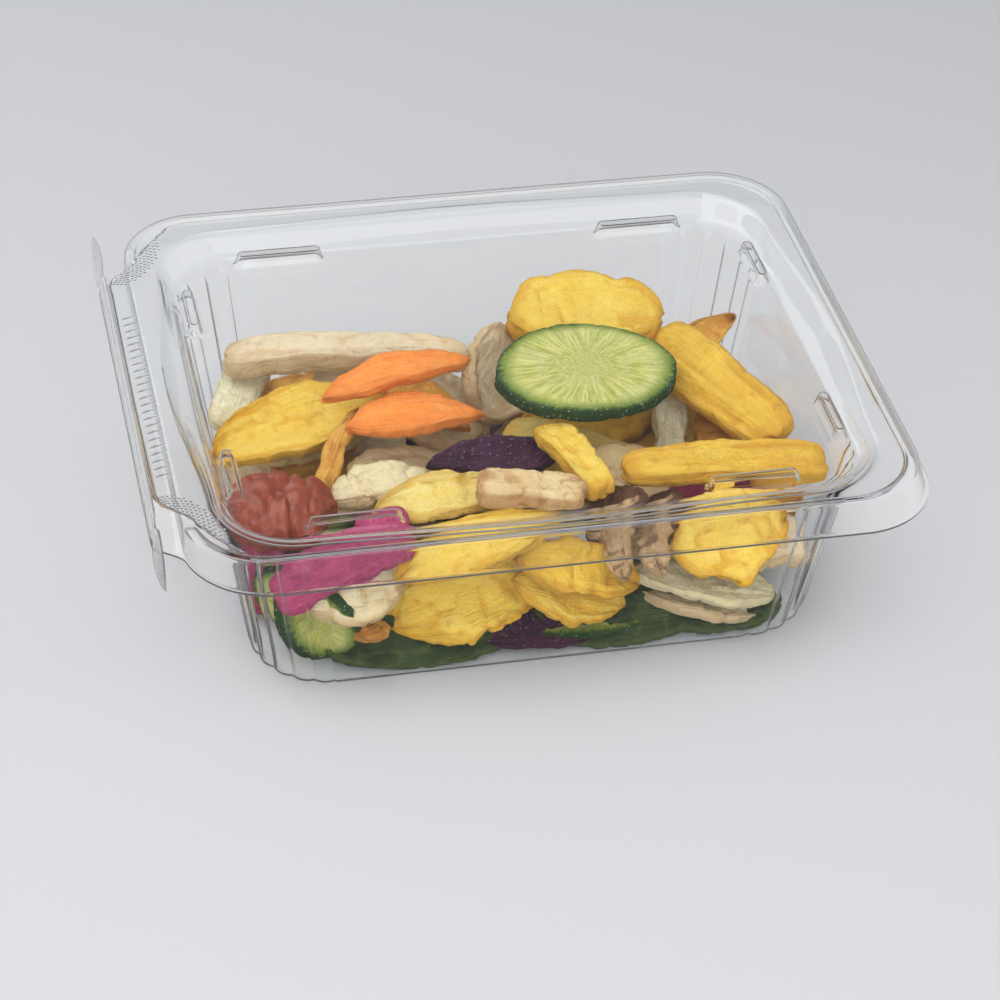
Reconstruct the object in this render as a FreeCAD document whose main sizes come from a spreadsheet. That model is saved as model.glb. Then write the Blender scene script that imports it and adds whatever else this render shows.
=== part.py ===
import FreeCAD, Part
import math
import os

import Sketcher

# Driving dimensions, in millimetres. The origin is the middle of the tray's floor, on its underside,
# with +X along the pack away from the hinge, +Y to the back and +Z up.
SIZES = {
    "sheet": 0.5,
    "floor_half_length": 73.0,
    "floor_half_depth": 57.5,
    "wall_draft": 8.0,
    "bowl_height": 50.0,
    "bowl_corner": 19.0,
    "foot_round": 2.4,
    "flute_count": 5,
    "flute_depth": 1.7,
    "shelf_bow": 0.6,
    "shelf_corner_inset": 1.6,
    "flare_height": 6.0,
    "land_length": 1.8,
    "land_depth": 3.4,
    "rim_corner": 17.5,
    "bead_width": 2.9,
    "bead_height": 1.9,
    "bead_gap_margin": 7.0,
    "skirt_flare_side": 2.9,
    "skirt_flare_end": 0.6,
    "lip_drop": 7.6,
    "lip_width": 0.9,
    "leaf_reach": 7.2,
    "leaf_inset": 4.5,
    "leaf_root": 11.0,
    "leaf_shoulder": 6.0,
    "leaf_shoulder_out": 0.6,
    "leaf_tip": 2.5,
    "leaf_round": 5.0,
    "panel_inset_length": 1.2,
    "panel_inset_depth": 3.0,
    "recess_depth": 5.0,
    "recess_slope_length": 7.4,
    "recess_slope_depth": 8.7,
    "recess_end_bow": 5.4,
    "recess_side_bow": 3.0,
    "recess_corner_inset": 8.9,
    "recess_corner_drop": 4.9,
    "recess_corner": 16.0,
    "nest_gap": 0.3,
    "fold_gap": 0.3,
    "lug_side_length": 24.5,
    "lug_end_length": 19.0,
    "lug_width": 4.6,
    "lug_height": 3.3,
    "lug_side_inset": 23.0,
    "lug_end_inset": 21.5,
    "lug_root": 9.0,
    "ear_cut": 11.5,
    "ear_shoulder": 4.4,
    "ear_shoulder_out": 0.6,
    "ear_round": 4.5,
    "ear_cut_round": 9.0,
    "strip_lean": 1.4,
    "strip_margin": 1.0,
    "tab_length": 29.0,
    "tab_half_width": 4.2,
    "tab_neck": 0.55,
    "tab_neck_place": 0.16,
    "tab_bulge_place": 0.48,
    "tab_bulge_round": 9.0,
    "tab_tip_round": 1.2,
    "strip_round": 3.0,
    "chip_gap": 0.35,
    "wall_gap": 0.5,
    "headroom": 1.5,
    "settle_slide": 9.0,
    "settle_tilt": 20.0,
    "top_freedom": 0.45,
}

# The bowl's half length, half depth and height that the chips below are given for.
FILLED_BOWL = (73.0, 57.5, 50.0)

# The dried chips, each with its kind, length, width, thickness, place on the floor plan (x, y),
# turn about the vertical (yaw), rise along its length (pitch), lean across it (roll), and how far
# it is bowed along its length and cupped across it. They are laid in this order, and each one
# comes down on what lies under it and settles a little.
CHIPS = [
    ("cucumber_corner", "disc", 42, 32, 5.0, -60, -46, 52, 4, 58, 1.0, 0.0),
    ("wedge_front_low", "horn", 28, 13, 8.0, -48, -52, 70, -38, 10, 1.5, 0.0),
    ("cassava_floor_left", "bar", 52, 30, 8.0, -46, 38, 8, 0, 0, 3.5, 1.5),
    ("pumpkin_floor_left", "lens", 54, 36, 9.0, -44, 6, -10, 0, 0, 3.5, 3.0),
    ("cucumber_floor_left", "disc", 50, 36, 6.0, -34, -22, 14, 0, 0, 3.0, 1.0),
    ("beet_floor_back", "disc", 46, 36, 7.0, 4, 36, -6, 0, 0, 3.0, 1.0),
    ("banana_floor_middle", "lens", 54, 32, 9.0, 5, 2, 16, 0, 0, 3.5, 3.0),
    ("cucumber_floor_front", "disc", 50, 34, 5.0, 14, -38, 4, 0, 0, 2.0, 1.0),
    ("potato_floor_right", "bar", 46, 28, 9.0, 50, 37, -10, 0, 0, 3.5, 1.5),
    ("jackfruit_floor_right", "lens", 48, 30, 9.0, 48, 4, 12, 0, 0, 3.5, 3.0),
    ("pumpkin_front_low", "lens", 42, 24, 8.0, -28, -50, 3, 2, 62, 3.0, 2.0),
    ("pale_slab_low", "lens", 34, 22, 7.0, 40, -47, -3, -4, 8, 1.5, 1.0),
    ("taro_floor_front", "bar", 34, 24, 9.0, 56, -28, -8, 0, 0, 3.0, 1.5),
    ("pear_front_low", "lens", 32, 17, 7.0, -2, -50, 3, -4, 26, 1.5, 1.0),
    ("pale_slab_mid", "lens", 40, 20, 7.0, 34, -50, -5, -4, 14, 1.5, 1.0),
    ("ginger_front_right", "bar", 20, 15, 8.0, 60, -48, 8, 4, 30, 1.0, 0.0),
    ("sweet_potato_left", "lens", 52, 32, 10.0, -54, 24, 70, 0, 0, 4.5, 3.0),
    ("taro_mid_left", "bar", 48, 24, 9.0, -22, 20, -30, 0, 0, 4.0, 2.0),
    ("banana_mid_left", "lens", 48, 28, 9.0, -24, -14, 12, 0, 0, 4.0, 3.0),
    ("jackfruit_mid_back", "lens", 50, 30, 10.0, 22, 24, 34, 0, 0, 4.0, 3.0),
    ("potato_mid_centre", "bar", 46, 24, 9.0, 12, -11, -22, 0, 0, 4.0, 2.0),
    ("pumpkin_mid_right", "lens", 48, 28, 9.0, 60, 20, 80, 0, 0, 4.0, 3.0),
    ("sweet_potato_right", "lens", 42, 24, 8.0, 56, -22, -70, 0, 0, 3.0, 3.0),
    ("pumpkin_front_mid", "lens", 36, 16, 8.0, 2, -54, 2, -2, 36, 2.5, 1.5),
    ("banana_front_mid", "disc", 29, 24, 6.5, -53, -54, 8, 8, 58, 1.5, 0.5),
    ("jackfruit_front_long", "boat", 44, 15, 8.0, -17, -57, 6, 3, 44, 3.0, 2.0),
    ("jackfruit_front_right", "lens", 31, 24, 8.0, 56, -56, 3, 0, 60, 2.0, 2.5),
    ("mushroom_front", "mushroom", 28, 22, 8.0, 28, -56, -96, 16, 50, 1.0, 0.5),
    ("mushroom_top", "mushroom", 29, 19, 7.0, 17, -54, -98, -24, 30, 1.0, 0.5),
    ("beet_slab_front", "bar", 38, 13, 5.0, -47, -58, 13, 8, 60, 0.8, 0.0),
    ("petal_right", "lens", 36, 18, 7.0, 71, -2, -77, -7, -30, 2.0, 2.0),
    ("pale_left", "bar", 26, 12, 6.0, -72, 36, 66, 16, 28, 1.0, 0.0),
    ("beet_left", "bar", 28, 12, 6.0, -74, -16, 84, 6, 24, 1.0, 0.0),
    ("tan_slice_centre", "lens", 34, 22, 5.5, 22, -24, -21, 0, 0, 2.0, 1.5),
    ("beet_right", "lens", 26, 13, 8.0, 50, -20, 5, 2, 14, 1.0, 0.0),
    ("stick_right", "bar", 28, 9, 6.0, 41, -7, 78, 16, 0, 1.0, 0.0),
    ("pumpkin_back_fold", "lens", 38, 24, 12.0, 32, 40, 10, 0, 0, 4.0, 3.0),
    ("pale_fold_back", "disc", 30, 24, 7.0, 4, 32, 60, 10, 50, 2.0, 2.5),
    ("curl_right", "horn", 30, 16, 6.0, 66, 33, 24, 26, 20, 3.0, 4.0),
    ("pear_left_back", "lens", 40, 20, 7.0, -44, 28, -8, 0, 0, 3.0, 2.0),
    ("pumpkin_left", "boat", 50, 25, 10.0, -53, 17, 5, 0, 16, 4.0, 3.0),
    ("square_left", "bar", 17, 15, 6.0, -64, -13, 2, -4, 14, 1.0, 0.0),
    ("tomato_left", "lump", 27, 24, 16.0, -63, -37, -8, 0, 8, 0.0, 0.0),
    ("thin_curl_left", "horn", 34, 8, 6.0, -50, -4, 62, 14, 0, 3.0, 0.0),
    ("crease_slice", "lens", 31, 18, 9.0, -41, -20, 20, 0, 12, 2.0, 2.5),
    ("apricot_mid", "lens", 27, 13, 6.0, -20, 21, -28, -8, 14, 2.0, 1.5),
    ("carrot_low", "boat", 37, 14, 7.0, -28, -2, 5, 3, 14, 3.0, 1.0),
    ("beet_dark_mid", "lens", 36, 15, 8.0, -9, -14, 8, 3, 12, 1.5, 1.0),
    ("jackfruit_centre", "boat", 50, 16, 8.0, -19, -31, 10, 3, 8, 3.0, 2.0),
    ("tan_block", "bar", 27, 12, 7.0, -6, -44, -13, 0, 6, 0.8, 0.0),
    ("stick_centre", "bar", 29, 12, 7.0, 9, -30, -75, 4, 8, 1.5, 0.0),
    ("gold_front_right", "bar", 54, 14, 7.0, 49, -36, 0, 0, 10, 1.5, 0.5),
    ("carrot_high", "boat", 41, 15, 7.0, -23, 6, 12, 3, 12, 3.0, 1.0),
    ("long_stick_back", "bar", 66, 12, 10.0, -34, 36, -18, -2, 0, 3.0, 0.0),
    ("gold_right", "bar", 60, 19, 9.0, 57, 2, -71, -4, 10, 2.5, 0.5),
    ("radish_top", "disc", 48, 38, 6.5, 18.5, -1, -3, 0, 6, 0.8, 0.0),
    ("pumpkin_top", "disc", 42, 31, 9.0, 28, 35, -3, 2, 12, 1.5, 1.0),
]

# The chips on top, which keep their chosen pose more closely than the rest as they settle.
TOP_CHIPS = ("pumpkin_left", "thin_curl_left", "carrot_low", "beet_dark_mid", "jackfruit_centre", "tan_block",
             "stick_centre", "curl_right", "gold_front_right", "carrot_high", "long_stick_back",
             "gold_right", "radish_top", "pumpkin_top")

# The bowl's foot is rounded in steps, each a share of the foot's height and of its pull inwards.
FOOT_STEPS = ((0.0, 0.8), (0.35, 0.25), (1.0, 0.0))

# How much the bowl's corner radius grows for each unit that its walls lean out.
CORNER_GROWTH = 0.5

# How far the boxes that open the bead on the hinge side reach past it on both sides, and how far
# above the bead and how many sheets deep the shapes that cut openings go.
GATE_MARGIN = 5
CLEAR_ABOVE = 2
CLEAR_SHEETS = 4

# Lengths and areas under these count as nothing.
TOUCHING = 1e-6
SLIVER = 1e-9
MESH_TOLERANCE = 1e-4

# Outline power, section power and end power of each kind of chip, with its rings and its spokes.
KINDS = {
    "disc": (2.0, 5.0, 7.0, 8, 8),
    "lens": (1.7, 2.6, 2.6, 7, 8),
    "bar": (6.0, 3.4, 6.0, 6, 8),
    "horn": (1.9, 2.0, 1.9, 6, 8),
    "boat": (1.6, 2.4, 2.2, 8, 8),
    "lump": (2.3, 2.3, 2.3, 7, 10),
    "mushroom": (2.0, 3.0, 5.0, 9, 8),
}

# Width at the middle and loss of width along the length of the kinds that taper.
TAPERS = {"horn": (0.72, 0.28), "boat": (1.0, 0.18)}

# Place and reach of a mushroom's cap along its length, and the stem's share of the full width.
CAP_MIDDLE = -0.42
CAP_REACH = 0.6
STEM_SHARE = 0.34


class Length:
    """A value and the spreadsheet formula that it is bound by."""

    def __init__(self, value, formula):
        self.value = float(value)
        self.formula = formula

    def __add__(self, other):
        other = as_length(other)
        return Length(self.value + other.value, f"({self.formula} + {other.formula})")

    def __sub__(self, other):
        other = as_length(other)
        return Length(self.value - other.value, f"({self.formula} - {other.formula})")

    def __mul__(self, other):
        other = as_length(other)
        return Length(self.value * other.value, f"({self.formula} * {other.formula})")

    def __truediv__(self, other):
        other = as_length(other)
        return Length(self.value / other.value, f"({self.formula} / {other.formula})")

    def __neg__(self):
        return Length(-self.value, f"(0 - {self.formula})")

    def root(self):
        return Length(math.sqrt(self.value), f"sqrt({self.formula})")


def as_length(value):
    if isinstance(value, Length):
        return value
    return Length(value, repr(float(value)))


def make_sheet(doc):
    """Put the driving dimensions in a spreadsheet and return them, and those that follow, by name."""
    sheet = doc.addObject("Spreadsheet::Sheet", "sizes")
    for row, (alias, value) in enumerate(SIZES.items(), start=1):
        sheet.set(f"A{row}", alias)
        sheet.set(f"B{row}", str(value))
        sheet.setAlias(f"B{row}", alias)
    doc.recompute()
    size = {alias: Length(sheet.get(alias), f"sizes.{alias}") for alias in SIZES}
    size["flange_level"] = size["bowl_height"] + size["flare_height"]
    for way in ("length", "depth"):
        shelf = size[f"floor_half_{way}"] + size["wall_draft"]
        size[f"shelf_half_{way}"] = shelf
        size[f"panel_half_{way}"] = shelf - size[f"panel_inset_{way}"]
        size[f"recess_half_{way}"] = size[f"panel_half_{way}"] + size[f"recess_slope_{way}"]
        size[f"rim_half_{way}"] = size[f"recess_half_{way}"] + size[f"land_{way}"]
    size["leaf_half"] = size["floor_half_depth"] - size["leaf_inset"]
    size["bead_gap_half"] = size["leaf_half"] + size["bead_gap_margin"]
    size["strip_half"] = size["leaf_half"] - size["strip_margin"]
    size["lug_side_place"] = size["floor_half_length"] - size["lug_side_inset"]
    size["lug_end_place"] = size["floor_half_depth"] - size["lug_end_inset"]
    return size


def bind(item, prop, length):
    length = as_length(length)
    item.setExpression(prop, length.formula)


def rounded_outline(doc, name, corners, level):
    """Draw a closed outline of straight lines with an arc at each corner.

    Each corner is (x, y, radius), and its sharp point, arc and lines are constrained to the sizes.
    """
    sketch = doc.addObject("Sketcher::SketchObject", name)
    sketch.Placement.Base.z = as_length(level).value
    bind(sketch, "Placement.Base.z", level)
    count = len(corners)
    places = [(as_length(x).value, as_length(y).value) for x, y, radius in corners]
    arcs = [corner_arc(places[k - 1], places[k], places[(k + 1) % count], as_length(corners[k][2]).value)
            for k in range(count)]
    origin = FreeCAD.Vector(0, 0, 0)
    normal = FreeCAD.Vector(0, 0, 1)
    geometry = []
    for centre, radius, first, last, start, end in arcs:
        circle = Part.Circle(origin + FreeCAD.Vector(*centre, 0), normal, radius)
        geometry.append(Part.ArcOfCircle(circle, first, last))
    for k in range(count):
        tail = arcs[k][5]
        head = arcs[(k + 1) % count][4]
        geometry.append(Part.LineSegment(FreeCAD.Vector(*tail, 0), FreeCAD.Vector(*head, 0)))
    sketch.addGeometry(geometry, False)
    sketch.addGeometry([Part.Point(FreeCAD.Vector(*place, 0)) for place in places], True)
    names = []
    rules = []
    for k in range(count):
        turns_left = is_left_turn(places[k - 1], places[k], places[(k + 1) % count])
        arc_in, arc_out = (1, 2) if turns_left else (2, 1)
        line_before = count + (k - 1) % count
        line_after = count + k
        point = 2 * count + k
        rules.append(Sketcher.Constraint("Tangent", line_before, 2, k, arc_in))
        rules.append(Sketcher.Constraint("Tangent", k, arc_out, line_after, 1))
        rules.append(Sketcher.Constraint("PointOnObject", point, 1, line_before))
        rules.append(Sketcher.Constraint("PointOnObject", point, 1, line_after))
        for kind, value in zip(("Radius", "DistanceX", "DistanceY"), (corners[k][2], *corners[k][:2])):
            length = as_length(value)
            if kind == "Radius":
                rules.append(Sketcher.Constraint(kind, k, length.value))
            else:
                rules.append(Sketcher.Constraint(kind, -1, 1, point, 1, length.value))
            names.append((len(rules) - 1, length))
    sketch.addConstraint(rules)
    for index, length in names:
        sketch.setExpression(f"Constraints[{index}]", length.formula)
    return sketch


def is_left_turn(before, corner, after):
    first = (corner[0] - before[0], corner[1] - before[1])
    second = (after[0] - corner[0], after[1] - corner[1])
    return first[0] * second[1] - first[1] * second[0] > 0


def corner_arc(before, corner, after, radius):
    """Return the arc that rounds a corner: centre, radius, both angles, and its start and end."""
    back = (before[0] - corner[0], before[1] - corner[1])
    ahead = (after[0] - corner[0], after[1] - corner[1])
    back_length = math.hypot(*back)
    ahead_length = math.hypot(*ahead)
    back = (back[0] / back_length, back[1] / back_length)
    ahead = (ahead[0] / ahead_length, ahead[1] / ahead_length)
    half = math.acos(max(-1.0, min(1.0, back[0] * ahead[0] + back[1] * ahead[1]))) / 2
    reach = radius / math.tan(half)
    middle = (back[0] + ahead[0], back[1] + ahead[1])
    scale = radius / math.sin(half) / math.hypot(*middle)
    centre = (corner[0] + middle[0] * scale, corner[1] + middle[1] * scale)
    start = (corner[0] + back[0] * reach, corner[1] + back[1] * reach)
    end = (corner[0] + ahead[0] * reach, corner[1] + ahead[1] * reach)
    first, last = start, end
    if not is_left_turn(before, corner, after):
        first, last = end, start
    first_angle = math.atan2(first[1] - centre[1], first[0] - centre[0])
    last_angle = math.atan2(last[1] - centre[1], last[0] - centre[0])
    if last_angle < first_angle:
        last_angle += 2 * math.pi
    return centre, radius, first_angle, last_angle, start, end


def rounded_box(doc, name, right, left, half_depth, radius, level):
    corners = [(right, -half_depth, radius), (right, half_depth, radius),
               (-left, half_depth, radius), (-left, -half_depth, radius)]
    return rounded_outline(doc, name, corners, level)


def bowed_box(doc, name, half_length, half_depth, end_bow, side_bow, inset, drop, radius, level):
    """Draw a box whose four sides bow outwards, with round corners."""
    corner_x = half_length - inset
    corner_y = half_depth - drop
    end_slope = (half_length + end_bow - corner_x) / corner_y
    side_slope = (half_depth + side_bow - corner_y) / corner_x
    end_radius = end_bow / ((end_slope * end_slope + 1).root() - 1)
    side_radius = side_bow / ((side_slope * side_slope + 1).root() - 1)
    end_x = half_length + end_bow
    side_y = half_depth + side_bow
    zero = Length(0, "0")
    corners = [(corner_x, -corner_y, radius), (end_x, zero, end_radius), (corner_x, corner_y, radius),
               (zero, side_y, side_radius), (-corner_x, corner_y, radius), (-end_x, zero, end_radius),
               (-corner_x, -corner_y, radius), (zero, -side_y, side_radius)]
    return rounded_outline(doc, name, corners, level)


def loft(doc, name, sections):
    item = doc.addObject("Part::Loft", name)
    item.Sections = sections
    item.Solid = True
    item.Ruled = True
    return item


def extrude(doc, name, sketch, height):
    item = doc.addObject("Part::Extrusion", name)
    item.Base = sketch
    item.DirMode = "Custom"
    item.Dir = FreeCAD.Vector(0, 0, 1)
    item.Solid = True
    bind(item, "LengthFwd", height)
    return item


def box(doc, name, low, high):
    """Make a box between two corners, each (x, y, z)."""
    item = doc.addObject("Part::Box", name)
    for prop, axis, start, end in zip(("Length", "Width", "Height"), "xyz", low, high):
        start = as_length(start)
        bind(item, prop, as_length(end) - start)
        bind(item, f"Placement.Base.{axis}", start)
    return item


def cut(doc, name, base, tool):
    item = doc.addObject("Part::Cut", name)
    item.Base = base
    item.Tool = tool
    return item


def fuse(doc, name, shapes):
    item = doc.addObject("Part::MultiFuse", name)
    item.Shapes = shapes
    return item


def fluted_wire(half_length, half_depth, radius, depth, flutes, level):
    """Return a rounded box whose corners are made of outward flutes that meet in sharp creases."""
    quarter = 90
    corners = [(1, -1, -quarter), (1, 1, 0), (-1, 1, quarter), (-1, -1, 2 * quarter)]
    stops = []
    for side_x, side_y, first in corners:
        centre = (side_x * (half_length - radius), side_y * (half_depth - radius))
        for k in range(flutes):
            crest = math.radians(first + quarter * (k + 0.5) / flutes)
            end = math.radians(first + quarter * (k + 1) / flutes)
            start = math.radians(first + quarter * k / flutes)
            crease = radius - depth
            start_radius = radius if k == 0 else crease
            end_radius = radius if k == flutes - 1 else crease
            stops.append([(centre[0] + r * math.cos(a), centre[1] + r * math.sin(a), level)
                          for r, a in ((start_radius, start), (radius, crest), (end_radius, end))])
    edges = []
    for k, (start, crest, end) in enumerate(stops):
        arc = Part.Arc(FreeCAD.Vector(*start), FreeCAD.Vector(*crest), FreeCAD.Vector(*end))
        edges.append(arc.toShape())
        following = stops[(k + 1) % len(stops)][0]
        if math.dist(end, following) > TOUCHING:
            edges.append(Part.LineSegment(FreeCAD.Vector(*end), FreeCAD.Vector(*following)).toShape())
    return Part.Wire(edges)


def bowl_plan(size, grow):
    """Return the bowl's half length, half depth and corner radius where its walls stand out by grow."""
    half_length = size["floor_half_length"].value + grow
    half_depth = size["floor_half_depth"].value + grow
    return half_length, half_depth, size["bowl_corner"].value + grow * CORNER_GROWTH


def bowl_solid(doc, name, size, inset, floor, top):
    """Loft the drafted, fluted bowl, moved inwards by inset, from its floor level to its top."""
    slope = size["wall_draft"].value / size["bowl_height"].value
    foot = size["foot_round"].value
    flutes = round(size["flute_count"].value)
    levels = [(floor + foot * rise, foot * pull) for rise, pull in FOOT_STEPS] + [(top, 0.0)]
    wires = []
    for level, pull in levels:
        half_length, half_depth, radius = bowl_plan(size, slope * level - inset - pull)
        wires.append(fluted_wire(half_length, half_depth, radius, size["flute_depth"].value, flutes, level))
    item = doc.addObject("Part::Feature", name)
    item.Shape = Part.makeLoft(wires, True, True)
    return item


def make_tray(doc, size):
    """Build the tray: fluted bowl, flared shelf, flange, bead, skirt, lip and hinge leaf."""
    sheet = size["sheet"]
    bowl_top = size["bowl_height"]
    flange = size["flange_level"]
    bead_top = flange + size["bead_height"]
    lip_level = flange - size["lip_drop"]
    above = bead_top + CLEAR_ABOVE

    bowl_outside = bowl_solid(doc, "bowl_outside", size, 0.0, 0.0, bowl_top.value)
    bowl_inside = bowl_solid(doc, "bowl_inside", size, sheet.value, sheet.value, bowl_top.value + sheet.value)

    shelf_length = size["shelf_half_length"]
    shelf_depth = size["shelf_half_depth"]
    nest = sheet + size["nest_gap"]

    def shelf(name, grow, level):
        bow = size["shelf_bow"]
        inset = size["shelf_corner_inset"]
        return bowed_box(doc, name, shelf_length + grow, shelf_depth + grow, bow, bow, inset, inset,
                         size["bowl_corner"] + grow, level)

    def mouth(name, grow, level):
        return bowed_box(doc, name, size["recess_half_length"] + grow, size["recess_half_depth"] + grow,
                         size["recess_end_bow"], size["recess_side_bow"], size["recess_corner_inset"],
                         size["recess_corner_drop"], size["recess_corner"] + grow, level)

    flare_outside = loft(doc, "flare_outside", [shelf("shelf_outer", sheet, bowl_top - sheet),
                                                mouth("mouth_outer", nest + sheet, flange)])
    flare_inside = loft(doc, "flare_inside", [shelf("shelf_inner", as_length(0), bowl_top),
                                              mouth("mouth_inner", nest, flange)])
    mouth_opening = mouth("mouth_opening", nest, flange - sheet * 0.5)
    mouth_clear = extrude(doc, "mouth_clear", mouth_opening, above - flange)

    rim_x = size["rim_half_length"]
    rim_y = size["rim_half_depth"]
    rim_corner = size["rim_corner"]
    outer_x = rim_x + size["bead_width"]
    outer_y = rim_y + size["bead_width"]
    outer_corner = rim_corner + size["bead_width"]
    side = size["skirt_flare_side"]
    end = size["skirt_flare_end"]

    skirt_outside = loft(doc, "skirt_outside", [
        rounded_box(doc, "skirt_outer_low", outer_x + side, outer_x, outer_y + end, outer_corner + end,
                    lip_level),
        rounded_box(doc, "skirt_outer_high", outer_x, outer_x, outer_y, outer_corner, bead_top)])
    skirt_inside = loft(doc, "skirt_inside", [
        rounded_box(doc, "skirt_inner_low", outer_x + side - sheet, outer_x - sheet, outer_y + end - sheet,
                    outer_corner + end - sheet, lip_level),
        rounded_box(doc, "skirt_inner_high", outer_x - sheet, outer_x - sheet, outer_y - sheet,
                    outer_corner - sheet, bead_top - sheet)])
    well_outline = rounded_box(doc, "bead_well_outline", rim_x, rim_x, rim_y, rim_corner, flange)
    well = extrude(doc, "bead_well", well_outline, above - flange)
    column_outline = rounded_box(doc, "flange_column_outline", rim_x + sheet, rim_x + sheet, rim_y + sheet,
                                 rim_corner + sheet, flange - sheet)
    column = extrude(doc, "flange_column", column_outline, above - flange)
    gap_half = size["bead_gap_half"]
    gate_out = -(outer_x + GATE_MARGIN)
    gate_in = -(rim_x - GATE_MARGIN)
    well_gate = box(doc, "hinge_side_gap", (gate_out, -gap_half, flange), (gate_in, gap_half, above))
    column_gate = box(doc, "hinge_side_flange", (gate_out, -(gap_half + sheet), flange - sheet),
                      (gate_in, gap_half + sheet, above))
    rim_top = cut(doc, "rim_top", skirt_outside, fuse(doc, "rim_well", [well, well_gate]))
    rim_hollow = cut(doc, "rim_hollow", skirt_inside, fuse(doc, "rim_column", [column, column_gate]))
    rim = cut(doc, "rim", rim_top, rim_hollow)

    lip_x = outer_x + side + size["lip_width"]
    lip_y = outer_y + end + size["lip_width"]
    lip_outline = rounded_box(doc, "lip_outline", lip_x, outer_x + sheet, lip_y,
                              outer_corner + end + size["lip_width"], lip_level)
    lip_plate = extrude(doc, "lip_plate", lip_outline, sheet)
    lip_opening = rounded_box(doc, "lip_opening", outer_x + side - sheet, outer_x - sheet,
                              outer_y + end - sheet, outer_corner + end - sheet, lip_level - sheet)
    lip = cut(doc, "lip", lip_plate, extrude(doc, "lip_clear", lip_opening, sheet * CLEAR_SHEETS))

    fold_x = outer_x + size["leaf_reach"]
    leaf_half = size["leaf_half"]
    root = leaf_half + size["leaf_root"]
    shoulder = leaf_half + size["leaf_shoulder"]
    shoulder_x = outer_x + size["leaf_shoulder_out"]
    tip = leaf_half + size["leaf_tip"]
    leaf_round = size["leaf_round"]
    root_round = sheet * 0.5
    root_x = outer_x - sheet
    leaf_outline = rounded_outline(doc, "leaf_outline", [
        (-root_x, root, root_round), (-shoulder_x, shoulder, leaf_round), (-fold_x, tip, leaf_round),
        (-fold_x, -tip, leaf_round), (-shoulder_x, -shoulder, leaf_round), (-root_x, -root, root_round),
    ], lip_level)
    leaf = extrude(doc, "hinge_leaf", leaf_outline, sheet)

    body = fuse(doc, "tray_outside", [bowl_outside, flare_outside, rim, lip, leaf])
    hollow = fuse(doc, "tray_inside", [bowl_inside, flare_inside, mouth_clear])
    tray = cut(doc, "tray_sheet", body, hollow)
    tray.Label = "tray"
    return tray


def lug_boxes(doc, size, name, inset, low):
    """Return the eight stacking lugs round the panel, each a block let into the recess wall."""
    width = size["lug_width"]
    top = low + size["lug_height"]
    outward = size["lug_root"]
    blocks = []
    for k, (sign_x, sign_y) in enumerate(((1, 1), (1, -1), (-1, 1), (-1, -1))):
        half = size["lug_side_length"] / 2 - inset
        middle = size["lug_side_place"] * sign_x
        inner = (size["panel_half_depth"] - width + inset) * sign_y
        outer = (size["panel_half_depth"] + outward) * sign_y
        near, far = (inner, outer) if sign_y > 0 else (outer, inner)
        blocks.append(box(doc, f"{name}_side_{k}", (middle - half, near, low), (middle + half, far, top)))
        half = size["lug_end_length"] / 2 - inset
        middle = size["lug_end_place"] * sign_y
        inner = (size["panel_half_length"] - width + inset) * sign_x
        outer = (size["panel_half_length"] + outward) * sign_x
        near, far = (inner, outer) if sign_x > 0 else (outer, inner)
        blocks.append(box(doc, f"{name}_end_{k}", (near, middle - half, low), (far, middle + half, top)))
    return blocks


def make_lid(doc, size):
    """Build the lid: flange with its hinge side, bowed recess, flat panel and stacking lugs."""
    sheet = size["sheet"]
    under = size["flange_level"] + size["nest_gap"]
    top = under + sheet
    panel_top = top - size["recess_depth"]
    gap = size["nest_gap"]
    edge_x = size["rim_half_length"] - gap
    edge_y = size["rim_half_depth"] - gap
    corner = size["rim_corner"] - gap
    fold_x = lid_fold_place(size) - size["fold_gap"]
    cut_in = size["ear_cut"]
    ear = size["leaf_half"]
    shoulder = ear + size["ear_shoulder"]
    shoulder_x = edge_x + size["ear_shoulder_out"]
    ear_round = size["ear_round"]
    cut_round = size["ear_cut_round"]
    outline = rounded_outline(doc, "lid_outline", [
        (edge_x, -edge_y, corner), (edge_x, edge_y, corner), (-(edge_x - cut_in), edge_y, cut_round),
        (-shoulder_x, shoulder, ear_round), (-fold_x, ear, ear_round), (-fold_x, -ear, ear_round),
        (-shoulder_x, -shoulder, ear_round), (-(edge_x - cut_in), -edge_y, cut_round),
    ], under)
    plate = extrude(doc, "lid_plate", outline, sheet)

    def recess(name, grow, low, high):
        base = bowed_box(doc, f"{name}_low", size["panel_half_length"] + grow,
                         size["panel_half_depth"] + grow, size["shelf_bow"], size["shelf_bow"],
                         size["shelf_corner_inset"], size["shelf_corner_inset"],
                         size["recess_corner"] + grow, low)
        crown = bowed_box(doc, f"{name}_high", size["recess_half_length"] + grow,
                          size["recess_half_depth"] + grow, size["recess_end_bow"], size["recess_side_bow"],
                          size["recess_corner_inset"], size["recess_corner_drop"],
                          size["recess_corner"] + grow, high)
        return loft(doc, name, [base, crown])

    recess_under = recess("recess_under", sheet, panel_top - sheet, under)
    recess_over = recess("recess_over", as_length(0), panel_top, top)
    lugs_under = lug_boxes(doc, size, "lug_under", sheet, panel_top - sheet)
    lugs_over = lug_boxes(doc, size, "lug_over", as_length(0), panel_top)
    outside = cut(doc, "recess_shell", recess_under, fuse(doc, "lugs_under", lugs_under))
    inside = cut(doc, "recess_air", recess_over, fuse(doc, "lugs_over", lugs_over))
    lid = cut(doc, "lid_sheet", fuse(doc, "lid_outside", [plate, outside]), inside)
    lid.Label = "lid"
    return lid


def lid_fold_place(size):
    return size["rim_half_length"] + size["bead_width"] + size["leaf_reach"] - size["strip_lean"]


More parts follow.
